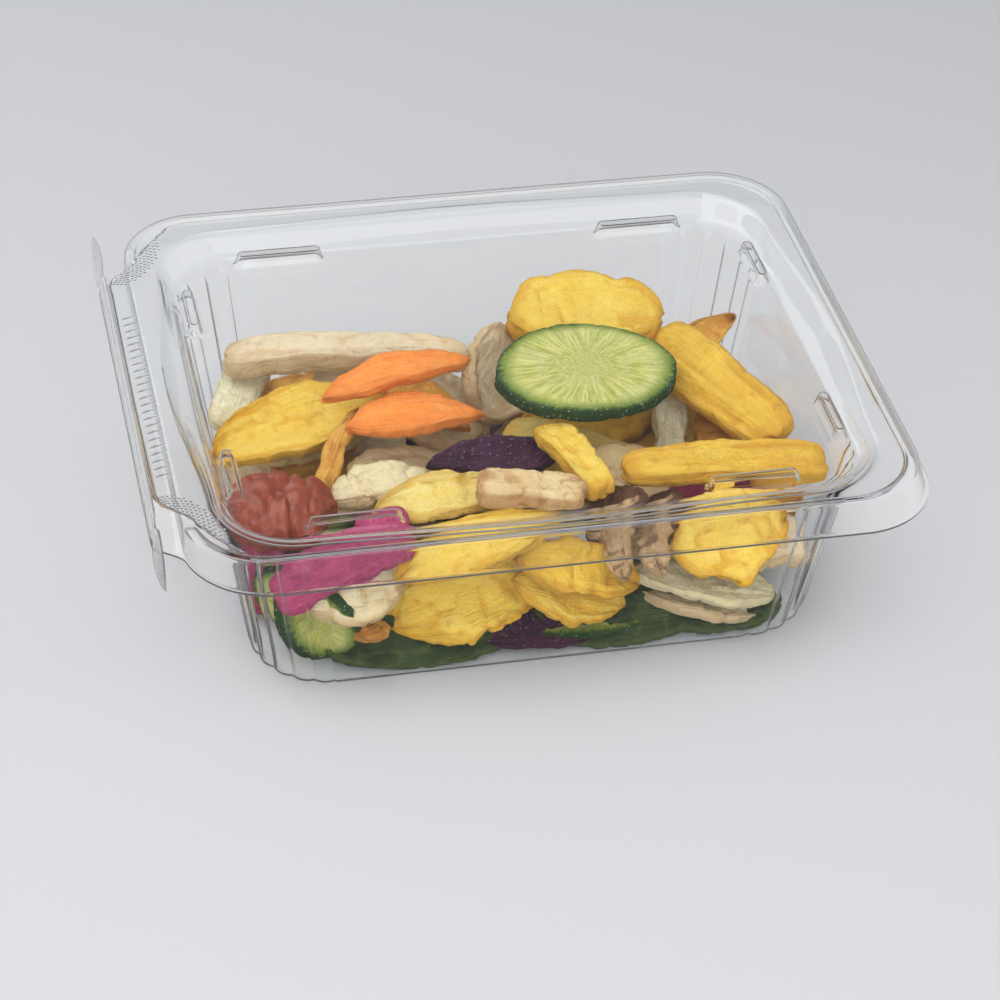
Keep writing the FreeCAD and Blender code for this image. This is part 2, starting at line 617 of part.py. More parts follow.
def make_strip(doc, size):
    """Build the tear strip: a leaning band between the two folds, with a pull tab at each end."""
    sheet = size["sheet"]
    gap = size["fold_gap"]
    low = size["flange_level"] - size["lip_drop"] + sheet + gap * 0.5
    high = size["flange_level"] + size["nest_gap"] - gap * 0.5
    rise = high - low
    slant = (rise * rise + size["strip_lean"] * size["strip_lean"]).root()
    half = slant / 2
    band = size["strip_half"]
    tab = size["tab_length"]
    wide = size["tab_half_width"]
    neck = half * size["tab_neck"]
    neck_y = band + tab * size["tab_neck_place"]
    bulge_y = band + tab * size["tab_bulge_place"]
    turn_round = size["strip_round"]
    bulge_round = size["tab_bulge_round"]
    tip_round = size["tab_tip_round"]
    run = [(half, band, turn_round), (neck, neck_y, turn_round), (wide, bulge_y, bulge_round),
           (as_length(0), band + tab, tip_round), (-wide, bulge_y, bulge_round), (-neck, neck_y, turn_round),
           (-half, band, turn_round)]
    corners = run + [(x, -y, radius) for x, y, radius in reversed(run)]
    outline = rounded_outline(doc, "strip_outline", corners, as_length(0))
    strip = extrude(doc, "strip_sheet", outline, sheet)
    strip.Label = "tear_strip"
    return strip, low, high


def place_strip(strip, size, low, high):
    """Stand the strip on its lower fold, leaning in towards the lid."""
    fold_x = size["rim_half_length"].value + size["bead_width"].value + size["leaf_reach"].value
    lean = math.degrees(math.atan2(size["strip_lean"].value, high.value - low.value))
    turn = FreeCAD.Rotation(FreeCAD.Vector(0, 1, 0), -90 + lean)
    middle = FreeCAD.Vector(-(fold_x - size["strip_lean"].value / 2), 0, (low.value + high.value) / 2)
    back = turn.multVec(FreeCAD.Vector(0, 0, size["sheet"].value / 2))
    strip.Placement = FreeCAD.Placement(middle - back, turn)


def power(value, exponent):
    return math.copysign(abs(value) ** exponent, value)


def chip_outline(kind, along):
    """Return the share of the full width at a place along the chip, from -1 to 1."""
    if kind == "mushroom":
        cap = max(0.0, 1 - ((along - CAP_MIDDLE) / CAP_REACH) ** 2) ** 0.5
        stem = STEM_SHARE * max(0.0, 1 - max(0.0, along) ** 6) ** 0.5 if along > CAP_MIDDLE else 0.0
        return max(cap, stem)
    exponent = KINDS[kind][0]
    share = max(0.0, 1 - abs(along) ** exponent) ** (1 / exponent)
    middle, slope = TAPERS.get(kind, (1.0, 0.0))
    return share * (middle - slope * along)


def chip_points(kind, length, width, thick, bow, cup):
    """Return the rings of points of a chip about its own middle, and its two end points."""
    section, ends, rings, spokes = KINDS[kind][1:]
    result = []
    for i in range(1, rings):
        along = -math.cos(math.pi * i / rings)
        half_width = width / 2 * chip_outline(kind, along)
        half_thick = thick / 2 * max(0.0, 1 - abs(along) ** ends) ** (1 / ends)
        ring = []
        for k in range(spokes):
            angle = 2 * math.pi * (k + 0.5) / spokes
            across = power(math.cos(angle), 2 / section)
            y = half_width * across
            z = half_thick * power(math.sin(angle), 2 / section)
            ring.append((length / 2 * along, y, z - bow * along ** 2 + cup * across ** 2))
        result.append(ring)
    tips = [(-length / 2, 0.0, -bow), (length / 2, 0.0, -bow)]
    return result, tips


def chip_mesh(kind, length, width, thick, bow, cup):
    """Return the corner points and the triangles of a chip, all facing outwards."""
    rings, tips = chip_points(kind, length, width, thick, bow, cup)
    spokes = len(rings[0])
    points = [point for ring in rings for point in ring] + tips
    first_tip = len(points) - 2
    last_tip = len(points) - 1
    faces = []
    for k in range(spokes):
        n = (k + 1) % spokes
        faces.append((first_tip, n, k))
        base = (len(rings) - 1) * spokes
        faces.append((last_tip, base + k, base + n))
    for i in range(len(rings) - 1):
        for k in range(spokes):
            n = (k + 1) % spokes
            a, b = i * spokes + k, i * spokes + n
            c, d = a + spokes, b + spokes
            faces.append((a, b, d))
            faces.append((a, d, c))
    return points, faces


def chip_turn(yaw, pitch, roll):
    """Return the turn about the length (roll), then across it (pitch), then the vertical (yaw)."""
    return FreeCAD.Rotation(yaw, -pitch, roll)


def turned(points, turn):
    return [tuple(turn.multVec(FreeCAD.Vector(*point))) for point in points]


def wall_distance(x, y, half_length, half_depth, radius):
    """Return how far a point is outside a rounded box, negative inside, and the way back in."""
    dx = abs(x) - (half_length - radius)
    dy = abs(y) - (half_depth - radius)
    if dx > 0 and dy > 0:
        reach = math.hypot(dx, dy)
        return reach - radius, (-math.copysign(dx / reach, x), -math.copysign(dy / reach, y))
    if dx > dy:
        return dx - radius, (-math.copysign(1, x), 0.0)
    return dy - radius, (0.0, -math.copysign(1, y))


class Pile:
    """The heap of chips, kept as the height of its top over a fine floor plan."""

    FINE = 1.0
    COARSE = 2.0
    TRIES = 6
    EXCESS_COST = 4
    STEP_SHARES = (0.5, 0.25)
    LEAST_GAIN = 0.05

    def __init__(self, size):
        self.size = size
        self.floor = size["sheet"].value
        panel_under = size["flange_level"] + size["nest_gap"] - size["recess_depth"]
        self.ceiling = (panel_under - size["headroom"]).value
        self.tops = {self.FINE: {}, self.COARSE: {}}

    def cells(self, points, faces, cell):
        """Return the lowest and highest point of a closed shape over each cell that it covers."""
        heights = {}
        for a, b, c in faces:
            (ax, ay, az), (bx, by, bz), (cx, cy, cz) = points[a], points[b], points[c]
            det = (by - cy) * (ax - cx) + (cx - bx) * (ay - cy)
            if abs(det) < SLIVER:
                continue
            for i in range(math.ceil(min(ax, bx, cx) / cell), math.floor(max(ax, bx, cx) / cell) + 1):
                for j in range(math.ceil(min(ay, by, cy) / cell), math.floor(max(ay, by, cy) / cell) + 1):
                    px, py = i * cell - cx, j * cell - cy
                    u = ((by - cy) * px + (cx - bx) * py) / det
                    v = ((cy - ay) * px + (ax - cx) * py) / det
                    if u < 0 or v < 0 or u + v > 1:
                        continue
                    z = u * az + v * bz + (1 - u - v) * cz
                    low, high = heights.get((i, j), (z, z))
                    heights[(i, j)] = (min(low, z), max(high, z))
        return heights

    def drop(self, points, faces, cell):
        """Return the height at which the shape comes down on the pile or the floor."""
        gap = self.size["chip_gap"].value
        tops = self.tops[cell]
        lift = self.floor + gap - min(point[2] for point in points)
        for key, (low, high) in self.cells(points, faces, cell).items():
            if key in tops:
                lift = max(lift, tops[key] + gap - low)
        return lift

    def push_in(self, points, lift):
        """Return the step that takes the shape clear of the bowl's walls."""
        size = self.size
        slope = size["wall_draft"].value / size["bowl_height"].value
        clear = size["sheet"].value + size["wall_gap"].value
        step_x = step_y = 0.0
        for x, y, z in points:
            level = min(z + lift, size["bowl_height"].value)
            grow = slope * level
            foot = max(0.0, size["foot_round"].value - level)
            out, way = wall_distance(x, y, *bowl_plan(size, grow))
            in_corner = way[0] != 0.0 and way[1] != 0.0
            over = out + clear + foot + (size["flute_depth"].value if in_corner else 0.0)
            if over > 0:
                if abs(way[0] * over) > abs(step_x):
                    step_x = way[0] * over
                if abs(way[1] * over) > abs(step_y):
                    step_y = way[1] * over
        return step_x, step_y

    def rest(self, points, faces, pose, cell):
        """Bring a shape down in one pose; return how high it lies, the pose and the drop height.

        What reaches above the headroom under the lid's panel counts several times over.
        """
        x, y, yaw, pitch, roll = pose
        local = turned(points, chip_turn(yaw, pitch, roll))
        for _ in range(self.TRIES):
            moved = [(px + x, py + y, pz) for px, py, pz in local]
            lift = self.drop(moved, faces, cell)
            step_x, step_y = self.push_in(moved, lift)
            if step_x == 0.0 and step_y == 0.0:
                break
            x += step_x
            y += step_y
        height = sum(point[2] for point in local) / len(local) + lift
        excess = max(point[2] for point in local) + lift - self.ceiling
        return height + self.EXCESS_COST * max(0.0, excess), (x, y, yaw, pitch, roll), lift

    def lay(self, points, faces, pose, freedom):
        """Let a shape settle from its chosen pose to a lower one close by, and keep it there."""
        slide = self.size["settle_slide"].value * freedom
        tilt = self.size["settle_tilt"].value * freedom
        best = self.rest(points, faces, pose, self.COARSE)
        for share in self.STEP_SHARES:
            moves = [(slide * share, 0, 0, 0, 0), (0, slide * share, 0, 0, 0),
                     (0, 0, 0, tilt * share, 0), (0, 0, 0, 0, tilt * share)]
            for sign in (1, -1, 1, -1):
                for move in moves:
                    tried = tuple(value + sign * step for value, step in zip(best[1], move))
                    if max(abs(tried[0] - pose[0]), abs(tried[1] - pose[1])) > slide:
                        continue
                    if max(abs(tried[3] - pose[3]), abs(tried[4] - pose[4])) > tilt:
                        continue
                    found = self.rest(points, faces, tried, self.COARSE)
                    if found[0] < best[0] - self.LEAST_GAIN:
                        best = found
        height, settled, lift = self.rest(points, faces, best[1], self.FINE)
        local = turned(points, chip_turn(*settled[2:]))
        placed = [(px + settled[0], py + settled[1], pz + lift) for px, py, pz in local]
        for cell, tops in self.tops.items():
            for key, (low, high) in self.cells(placed, faces, cell).items():
                tops[key] = max(tops.get(key, high), high)
        return settled, lift


def make_chips(doc, size):
    """Make each chip as a closed, flat-faced solid and lay it on the pile."""
    pile = Pile(size)
    bowl = (size["floor_half_length"], size["floor_half_depth"], size["bowl_height"])
    shares = [length.value / given for length, given in zip(bowl, FILLED_BOWL)]
    scale = min(shares)
    chips = []
    for name, kind, length, width, thick, x, y, yaw, pitch, roll, bow, cup in CHIPS:
        measures = [measure * scale for measure in (length, width, thick, bow, cup)]
        points, faces = chip_mesh(kind, *measures)
        freedom = size["top_freedom"].value if name in TOP_CHIPS else 1.0
        pose, lift = pile.lay(points, faces, (x * shares[0], y * shares[1], yaw, pitch, roll), freedom)
        shell = Part.Shape()
        shell.makeShapeFromMesh(([FreeCAD.Vector(*point) for point in points], faces), MESH_TOLERANCE)
        solid = Part.Solid(Part.Shell(shell.Faces))
        if solid.Volume < 0:
            solid.reverse()
        chip = doc.addObject("Part::Feature", name)
        chip.Shape = solid
        chip.Label = name
        chip.Placement = FreeCAD.Placement(FreeCAD.Vector(pose[0], pose[1], lift), chip_turn(*pose[2:]))
        chips.append(chip)
    return chips


def check_and_export(doc, nodes):
    """Stop on any failed object or bad solid, then write each node's file."""
    for item in doc.Objects:
        if "Invalid" in item.State or "Error" in item.State:
            raise RuntimeError(f"{item.Name} failed: {item.State}")
    for node in nodes:
        shape = node.Shape
        if shape.isNull() or not shape.isValid() or len(shape.Solids) != 1 or shape.Volume <= 0:
            raise RuntimeError(f"{node.Label} has no single valid solid")
    os.makedirs("parts", exist_ok=True)
    for node in nodes:
        node.Shape.exportStep(f"parts/{node.Label}.step")


def main():
    doc = FreeCAD.newDocument("pack")
    size = make_sheet(doc)
    tray = make_tray(doc, size)
    lid = make_lid(doc, size)
    strip, low, high = make_strip(doc, size)
    doc.recompute()
    place_strip(strip, size, low, high)
    chips = make_chips(doc, size)
    doc.recompute()
    nodes = [tray, strip, lid] + chips
    check_and_export(doc, nodes)
    for node in nodes:
        bounds = node.Shape.BoundBox
        print(f"{node.Label:24s} volume {node.Shape.Volume:9.1f}  faces {len(node.Shape.Faces):4d}  "
              f"x {bounds.XMin:7.1f} {bounds.XMax:7.1f}  y {bounds.YMin:7.1f} {bounds.YMax:7.1f}  "
              f"z {bounds.ZMin:6.1f} {bounds.ZMax:6.1f}")


main()
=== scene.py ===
"""A clear hinged food pack filled with dried vegetable and fruit chips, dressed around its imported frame.

All lengths in this file are in millimetres in the row frame, and become metres where a mesh is made.
"""

import logging
import math
from dataclasses import dataclass, field
from enum import Enum

import bpy
import numpy as np
from mathutils import Matrix, Vector


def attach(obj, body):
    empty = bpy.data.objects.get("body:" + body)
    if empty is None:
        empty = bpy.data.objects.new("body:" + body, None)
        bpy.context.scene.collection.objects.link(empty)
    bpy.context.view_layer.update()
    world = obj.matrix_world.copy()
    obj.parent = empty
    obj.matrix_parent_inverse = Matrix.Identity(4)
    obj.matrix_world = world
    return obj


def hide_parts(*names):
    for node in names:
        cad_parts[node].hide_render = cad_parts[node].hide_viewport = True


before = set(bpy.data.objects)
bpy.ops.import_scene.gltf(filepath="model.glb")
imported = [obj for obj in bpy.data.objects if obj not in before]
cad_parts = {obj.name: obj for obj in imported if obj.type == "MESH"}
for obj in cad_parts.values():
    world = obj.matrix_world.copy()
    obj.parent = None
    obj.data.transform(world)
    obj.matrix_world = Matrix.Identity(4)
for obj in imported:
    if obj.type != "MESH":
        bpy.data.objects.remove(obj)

LOG = logging.getLogger("pack")
METRES = 0.001

# What lies to the left of this is on the hinge side.
HINGE_X = -60.0

# Places nearer than this to each other on a side or an end are made one.
LEAST_STEP = 0.004

# The most that a rounding takes from the run between two stations.
MOST_CUT = 0.49

Colour = tuple[float, float, float]
Piece = bpy.types.Object
Socket = bpy.types.NodeSocket

# The sockets of a Mix node for colours.
MIX_LOW, MIX_HIGH, MIX_RESULT = 6, 7, 2


# Meshes


def grid_faces(rows: int, columns: int, closed: bool, first: int = 0) -> np.ndarray:
    """Number the quads of a grid of points, row by row.

    Args:
        rows: Number of rows of points.
        columns: Number of points in a row.
        closed: True where a row's last point joins its first one.
        first: Number of the grid's first point.

    Returns:
        The four point numbers of each quad.
    """
    row = np.arange(rows - 1)[:, None] * columns
    column = np.arange(columns if closed else columns - 1)[None, :]
    following = (column + 1) % columns
    corners = (row + column, row + following, row + columns + following, row + columns + column)
    return first + np.stack([corner.ravel() for corner in corners], axis=1)


def put_mesh(name: str, points: np.ndarray, faces: list[list[int]], smooth: bool = True) -> Piece:
    """Make an object whose mesh holds the points, in metres, at the origin.

    Args:
        name: The piece's name.
        points: Its points, in millimetres, one a row.
        faces: Point numbers of each face.
        smooth: True for smooth shading.

    Returns:
        The new object, linked to the scene.
    """
    mesh = bpy.data.meshes.new(name)
    mesh.from_pydata((points * METRES).tolist(), [], faces)
    mesh.polygons.foreach_set("use_smooth", np.full(len(mesh.polygons), smooth))
    mesh.update()
    piece = bpy.data.objects.new(name, mesh)
    bpy.context.scene.collection.objects.link(piece)
    LOG.info("%s: %d points, %d faces", name, len(points), len(faces))
    return piece


def add_attribute(piece: Piece, name: str, values: np.ndarray) -> None:
    """Store one number or one vector for each point of a piece.

    Args:
        piece: The piece.
        name: The attribute's name.
        values: One number or one row of three for each point.
    """
    kind, key = ("FLOAT", "value") if values.ndim == 1 else ("FLOAT_VECTOR", "vector")
    attribute = piece.data.attributes.new(name, kind, "POINT")
    attribute.data.foreach_set(key, values.astype(np.float32).ravel())


def smooth_step(low: float, high: float, value: np.ndarray) -> np.ndarray:
    """Rise from 0 at low to 1 at high along the curve 3t squared less 2t cubed."""
    share = np.clip((value - low) / (high - low), 0.0, 1.0)
    return share * share * (3.0 - 2.0 * share)


# Large odd numbers that turn a place on the lattice into a random-looking one.
PLACE_HASH = np.array([374761393, 668265263, 1274126177])
SEED_HASH = 974634777
MIX_HASH = 1103515245


def lattice_noise(points: np.ndarray, seed: int) -> np.ndarray:
    """Smooth noise from -1 to 1: random values at whole-number places, blended between them.

    Args:
        points: Places in space, three numbers a row.
        seed: Number that picks the pattern.

    Returns:
        One value for each place.
    """
    cell = np.floor(points).astype(np.int64)
    part = points - cell
    part = part * part * (3.0 - 2.0 * part)
    total = np.zeros(len(points))
    for corner in range(8):
        step = np.array([corner & 1, corner >> 1 & 1, corner >> 2 & 1])
        key = (cell + step) @ PLACE_HASH + seed * SEED_HASH
        key = (key ^ (key >> 13)) * MIX_HASH & 0x7FFFFFFF
        key = (key ^ (key >> 16)) & 0xFFFF
        weight = np.prod(np.where(step == 1, part, 1.0 - part), axis=1)
        total += weight * (key / 32767.5 - 1.0)
    return total


# Plans of rounded boxes


@dataclass(frozen=True)
class Plan:
    """The shares from which every outline of a rounded box is put together.

    A point lies at x = (a - r) side_x + r round_x + bow_x swell_x, and y likewise, for half sizes a and b,
    corner radius r and bows of the ends and the sides. Going round, the shares of one point stay the same.
    """

    side_x: np.ndarray
    side_y: np.ndarray
    round_x: np.ndarray
    round_y: np.ndarray
    swell_x: np.ndarray
    swell_y: np.ndarray
    flute: np.ndarray

    @classmethod
    def of(cls, end_stops: np.ndarray, side_stops: np.ndarray, corner_steps: int, flutes: int) -> "Plan":
        """Lay the shares round the box, from the right end's front.

        Args:
            end_stops: Places along an end, from -1 to 1.
            side_stops: Places along a side, from -1 to 1.
            corner_steps: Number of steps round each corner.
            flutes: Number of flutes in each corner.

        Returns:
            The plan.
        """
        share = np.arange(corner_steps) / corner_steps
        place = share * flutes % 1.0 * 2.0 - 1.0
        columns = []
        for quarter, stops in enumerate((end_stops, side_stops, end_stops, side_stops)):
            turn = quarter * math.pi / 2
            out = np.array([math.cos(turn), math.sin(turn)]).round()
            along = np.array([-out[1], out[0]])
            inner = stops[:-1]
            straight = out[:, None] + along[:, None] * inner[None, :]
            swell = out[:, None] * (1.0 - inner**2) ** 2
            facing = np.repeat(out[:, None], len(inner), axis=1)
            columns.append(np.vstack([straight, facing, swell, np.zeros((1, len(inner)))]))
            corner = np.repeat((out + along)[:, None], corner_steps, axis=1)
            angle = turn + share * math.pi / 2
            rounding = np.vstack([np.cos(angle), np.sin(angle)])
            columns.append(np.vstack([corner, rounding, np.zeros((2, corner_steps)), -(place[None, :] ** 2)]))
        return cls(*np.hstack(columns))

    def outlines(self, rings: np.ndarray) -> tuple[np.ndarray, np.ndarray]:
        """Return x and y of each ring's outline.

        Args:
            rings: One row for each ring: right half length, left half length, half depth, corner radius,
                bow of the ends, bow of the sides, flute depth.

        Returns:
            Two arrays, one row for each ring.
        """
        right, left, depth, corner, end_bow, side_bow, flute = (rings[:, k : k + 1] for k in range(7))
        length = np.where(self.side_x >= 0, right, left)
        x = (length - corner) * self.side_x + corner * self.round_x + end_bow * self.swell_x
        y = (depth - corner) * self.side_y + corner * self.round_y + side_bow * self.swell_y
        groove = flute * self.flute
        return x + groove * self.round_x, y + groove * self.round_y


def rounded_path(stations: np.ndarray, cuts: list[float], across: list[int], steps: list[int]) -> np.ndarray:
    """Round the corners of a path of stations with parabolas, and divide the straight runs between them.

    Args:
        stations: One row of values for each station.
        cuts: How far before and after each station its rounding starts.
        across: The columns that distance is measured in.
        steps: Number of divisions of the straight run after each station.

    Returns:
        One row of values for each ring along the path.
    """

    def arm(k: int, neighbour: int) -> np.ndarray:
        """Find where a station's rounding starts, on the way to its neighbour."""
        way = stations[neighbour] - stations[k]
        return stations[k] + way * min(MOST_CUT, cuts[k] / np.linalg.norm(way[across]))

    rounding = np.linspace(0.0, 1.0, 7)[:, None]
    rings = []
    for k, station in enumerate(stations):
        if cuts[k] > 0.0:
            before, after = (1 - rounding) ** 2 * arm(k, k - 1), rounding**2 * arm(k, k + 1)
            rings.append(before + 2 * rounding * (1 - rounding) * station + after)
        else:
            rings.append(station[None, :])
        if k + 1 < len(stations):
            share = np.linspace(0.0, 1.0, steps[k] + 1)[1:-1, None]
            rings.append(rings[-1][-1] + (arm(k + 1, k) - rings[-1][-1]) * share)
    return np.vstack(rings)


def gathered(centres: list[float], reach: float, near: int, spread: int) -> np.ndarray:
    """Place stops from -1 to 1, evenly spread and closer together round some centres.

    Args:
        centres: The centres.
        reach: How far the close stops reach from a centre.
        near: Number of close stops at each centre.
        spread: Number of evenly spread stops.

    Returns:
        The stops, in order.
    """
    places = [np.linspace(-1.0, 1.0, spread)]
    places += [np.linspace(centre - reach, centre + reach, near) for centre in centres]
    ordered = np.unique(np.clip(np.concatenate(places), -1.0, 1.0).round(5))
    apart = np.append(True, np.diff(ordered) > LEAST_STEP)
    apart[-1] = True
    kept = ordered[apart]
    return np.delete(kept, -2) if kept[-1] - kept[-2] < LEAST_STEP else kept


# Finishes


@dataclass(frozen=True)
class Wiring:
    """A node tree that nodes are added to and wired on."""

    tree: bpy.types.NodeTree

    def add(self, kind: str, inputs: dict[str | int, object] | None = None, **settings: object) -> bpy.types.Node:
        """Add a node.

        Args:
            kind: Its type, without the prefix that all shader nodes have.
            inputs: For an input, its value or the socket that feeds it.
            settings: The node's own settings.

        Returns:
            The node.
        """
        made = self.tree.nodes.new(kind if kind.startswith("Node") else "ShaderNode" + kind)
        for name, value in settings.items():
            setattr(made, name, value)
        for name, value in (inputs or {}).items():
            if isinstance(value, Socket):
                self.tree.links.new(value, made.inputs[name])
            else:
                made.inputs[name].default_value = value
        return made

    def maths(self, operation: str, *values: float | Socket, clamp: bool = False) -> Socket:
        """Work out one number from values and sockets."""
        return self.add("Math", dict(enumerate(values)), operation=operation, use_clamp=clamp).outputs[0]

    def scaled(self, value: Socket, factor: float) -> Socket:
        """Multiply a value that changes over the surface by a plain number, kept within 0 and 1."""
        return self.maths("MULTIPLY", value, factor, clamp=True)

    def mixed(self, factor: Socket, low: Colour | Socket, high: Colour | Socket) -> Socket:
        """Mix two colours by a factor, where each is a colour or a socket that gives one."""
        low, high = (end if isinstance(end, Socket) else (*end, 1.0) for end in (low, high))
        return self.add("Mix", {0: factor, MIX_LOW: low, MIX_HIGH: high}, data_type="RGBA").outputs[MIX_RESULT]

    def window(self, value: Socket, low: float, high: float, curve: str = "SMOOTHSTEP") -> Socket:
        """Rise from 0 where the value is low to 1 where it is high."""
        ramp = self.add("MapRange", {"Value": value, "From Min": low, "From Max": high}, interpolation_type=curve)
        return ramp.outputs["Result"]

    def noise(self, vector: Socket, scale: float | Socket, detail: float = 2.0, roughness: float = 0.5,
              distortion: float = 0.0, **settings: object) -> Socket:
        """Add smooth noise over a vector."""
        inputs = {"Vector": vector, "Scale": scale, "Detail": detail, "Roughness": roughness, "Distortion": distortion}
        return self.add("TexNoise", inputs, **settings).outputs["Fac"]

    def along(self, vector: Socket, way: Colour) -> Socket:
        """Return how far a place lies along a way."""
        return self.add("VectorMath", {0: vector, 1: way}, operation="DOT_PRODUCT").outputs["Value"]

    def place(self) -> Socket:
        """Return the place on the object."""
        return self.add("TexCoord").outputs["Object"]

    def attribute(self, name: str, output: str = "Fac") -> Socket:
        """Read one of a piece's own attributes."""
        return self.add("Attribute", attribute_name=name, attribute_type="GEOMETRY").outputs[output]

    def mirrored(self) -> Socket:
        """Return 1 for what is seen by way of a reflection, and 0 for what is seen directly or through clear sheet."""
        return self.maths("GREATER_THAN", self.add("LightPath").outputs["Glossy Depth"], 0.5)


class SharedEffects:
    """The node groups that more than one finish uses, each made once."""

    _groups: dict[str, bpy.types.NodeTree] = {}

    @classmethod
    def group(cls, name: str, inputs: dict[str, float], outputs: tuple[str, ...]) -> tuple[Wiring, dict[str, Socket]]:
        """Start a group.

        Args:
            name: Its name.
            inputs: Its number inputs with their defaults. Its first input is always a vector.
            outputs: Its outputs, all numbers.

        Returns:
            Its wiring and its inputs.
        """
        tree = cls._groups[name] = bpy.data.node_groups.new(name, "ShaderNodeTree")
        tree.interface.new_socket("Vector", in_out="INPUT", socket_type="NodeSocketVector")
        for key, value in inputs.items():
            tree.interface.new_socket(key, in_out="INPUT", socket_type="NodeSocketFloat").default_value = value
        for key in outputs:
            tree.interface.new_socket(key, in_out="OUTPUT", socket_type="NodeSocketFloat")
        wiring = Wiring(tree)
        return wiring, wiring.add("NodeGroupInput").outputs

    @classmethod
    def mottle(cls) -> bpy.types.NodeTree:
        """Make soft patches, small specks and grain height on Object coordinates.

        Returns:
            The group.
        """
        if "flesh_mottle" not in cls._groups:
            defaults = {"Patch Scale": 90.0, "Speck Scale": 700.0, "Speck Size": 0.14}
            wiring, given = cls.group("flesh_mottle", defaults, ("Patches", "Specks", "Height"))
            patches = wiring.noise(given["Vector"], given["Patch Scale"], 6.0, 0.68, 0.6)
            specks = wiring.add("TexVoronoi", {"Vector": given["Vector"], "Scale": given["Speck Scale"]})
            grain = wiring.noise(given["Vector"], 1400.0, 3.0)
            wiring.add("NodeGroupOutput", {
                "Patches": wiring.window(patches, 0.32, 0.68, "LINEAR"),
                "Specks": wiring.maths("LESS_THAN", specks.outputs["Distance"], given["Speck Size"]),
                "Height": wiring.maths("MULTIPLY_ADD", patches, 2.2, grain),
            })
        return cls._groups["flesh_mottle"]

    @classmethod
    def fibres(cls) -> bpy.types.NodeTree:
        """Make long streaks that follow a chip's own lengthwise coordinates.

        Returns:
            The group.
        """
        if "lengthwise_fibres" not in cls._groups:
            wiring, given = cls.group("lengthwise_fibres", {"Spacing": 9.0}, ("Streaks",))
            stretch = wiring.add("VectorMath", {0: given["Vector"], 1: (0.09, 1.0, 1.0)}, operation="MULTIPLY")
            streaks = wiring.noise(stretch.outputs[0], given["Spacing"], 5.0, 0.6)
            wiring.add("NodeGroupOutput", {"Streaks": wiring.window(streaks, 0.35, 0.65, "LINEAR")})
        return cls._groups["lengthwise_fibres"]


def new_material(name: str) -> tuple[bpy.types.Material, Wiring]:
    """Make an empty node material.

    Args:
        name: Its name.

    Returns:
        The material and its wiring.
    """
    made = bpy.data.materials.new(name)
    made.use_nodes = True
    made.node_tree.nodes.clear()
    return made, Wiring(made.node_tree)


@dataclass(frozen=True)
class ClearSheet:
    """Clear, glossy thermoformed sheet."""

    tint: Colour = (0.992, 0.996, 1.0)
    passed: Colour = (0.98, 0.983, 0.985)
    roughness: float = 0.035
    index: float = 1.45
    ripple_scale: float = 60.0
    ripple: float = 0.12
    ripple_height: float = 0.0006
    trapped_after: float = 3.5

    def material(self, name: str) -> bpy.types.Material:
        """Build the finish: glass that lets lamps through, with faint forming ripples.

        Args:
            name: The material's name.

        Returns:
            The material.
        """
        made, wiring = new_material(name)
        ripples = wiring.noise(wiring.place(), self.ripple_scale)
        bump = wiring.add("Bump", {"Strength": self.ripple, "Distance": self.ripple_height, "Height": ripples})
        glass = wiring.add("BsdfPrincipled", {
            "Base Color": (*self.tint, 1.0), "Roughness": self.roughness, "IOR": self.index,
            "Transmission Weight": 1.0, "Normal": bump.outputs["Normal"]})
        clear = wiring.add("BsdfTransparent", {"Color": (*self.passed, 1.0)})
        path = wiring.add("LightPath").outputs
        light = wiring.maths("MAXIMUM", path["Is Shadow Ray"], path["Is Diffuse Ray"])
        trapped = wiring.maths("GREATER_THAN", path["Ray Depth"], self.trapped_after)
        mix = wiring.add("MixShader", {
            0: wiring.maths("MAXIMUM", light, trapped), 1: glass.outputs[0], 2: clear.outputs[0]})
        wiring.add("OutputMaterial", {"Surface": mix.outputs[0]})
        return made


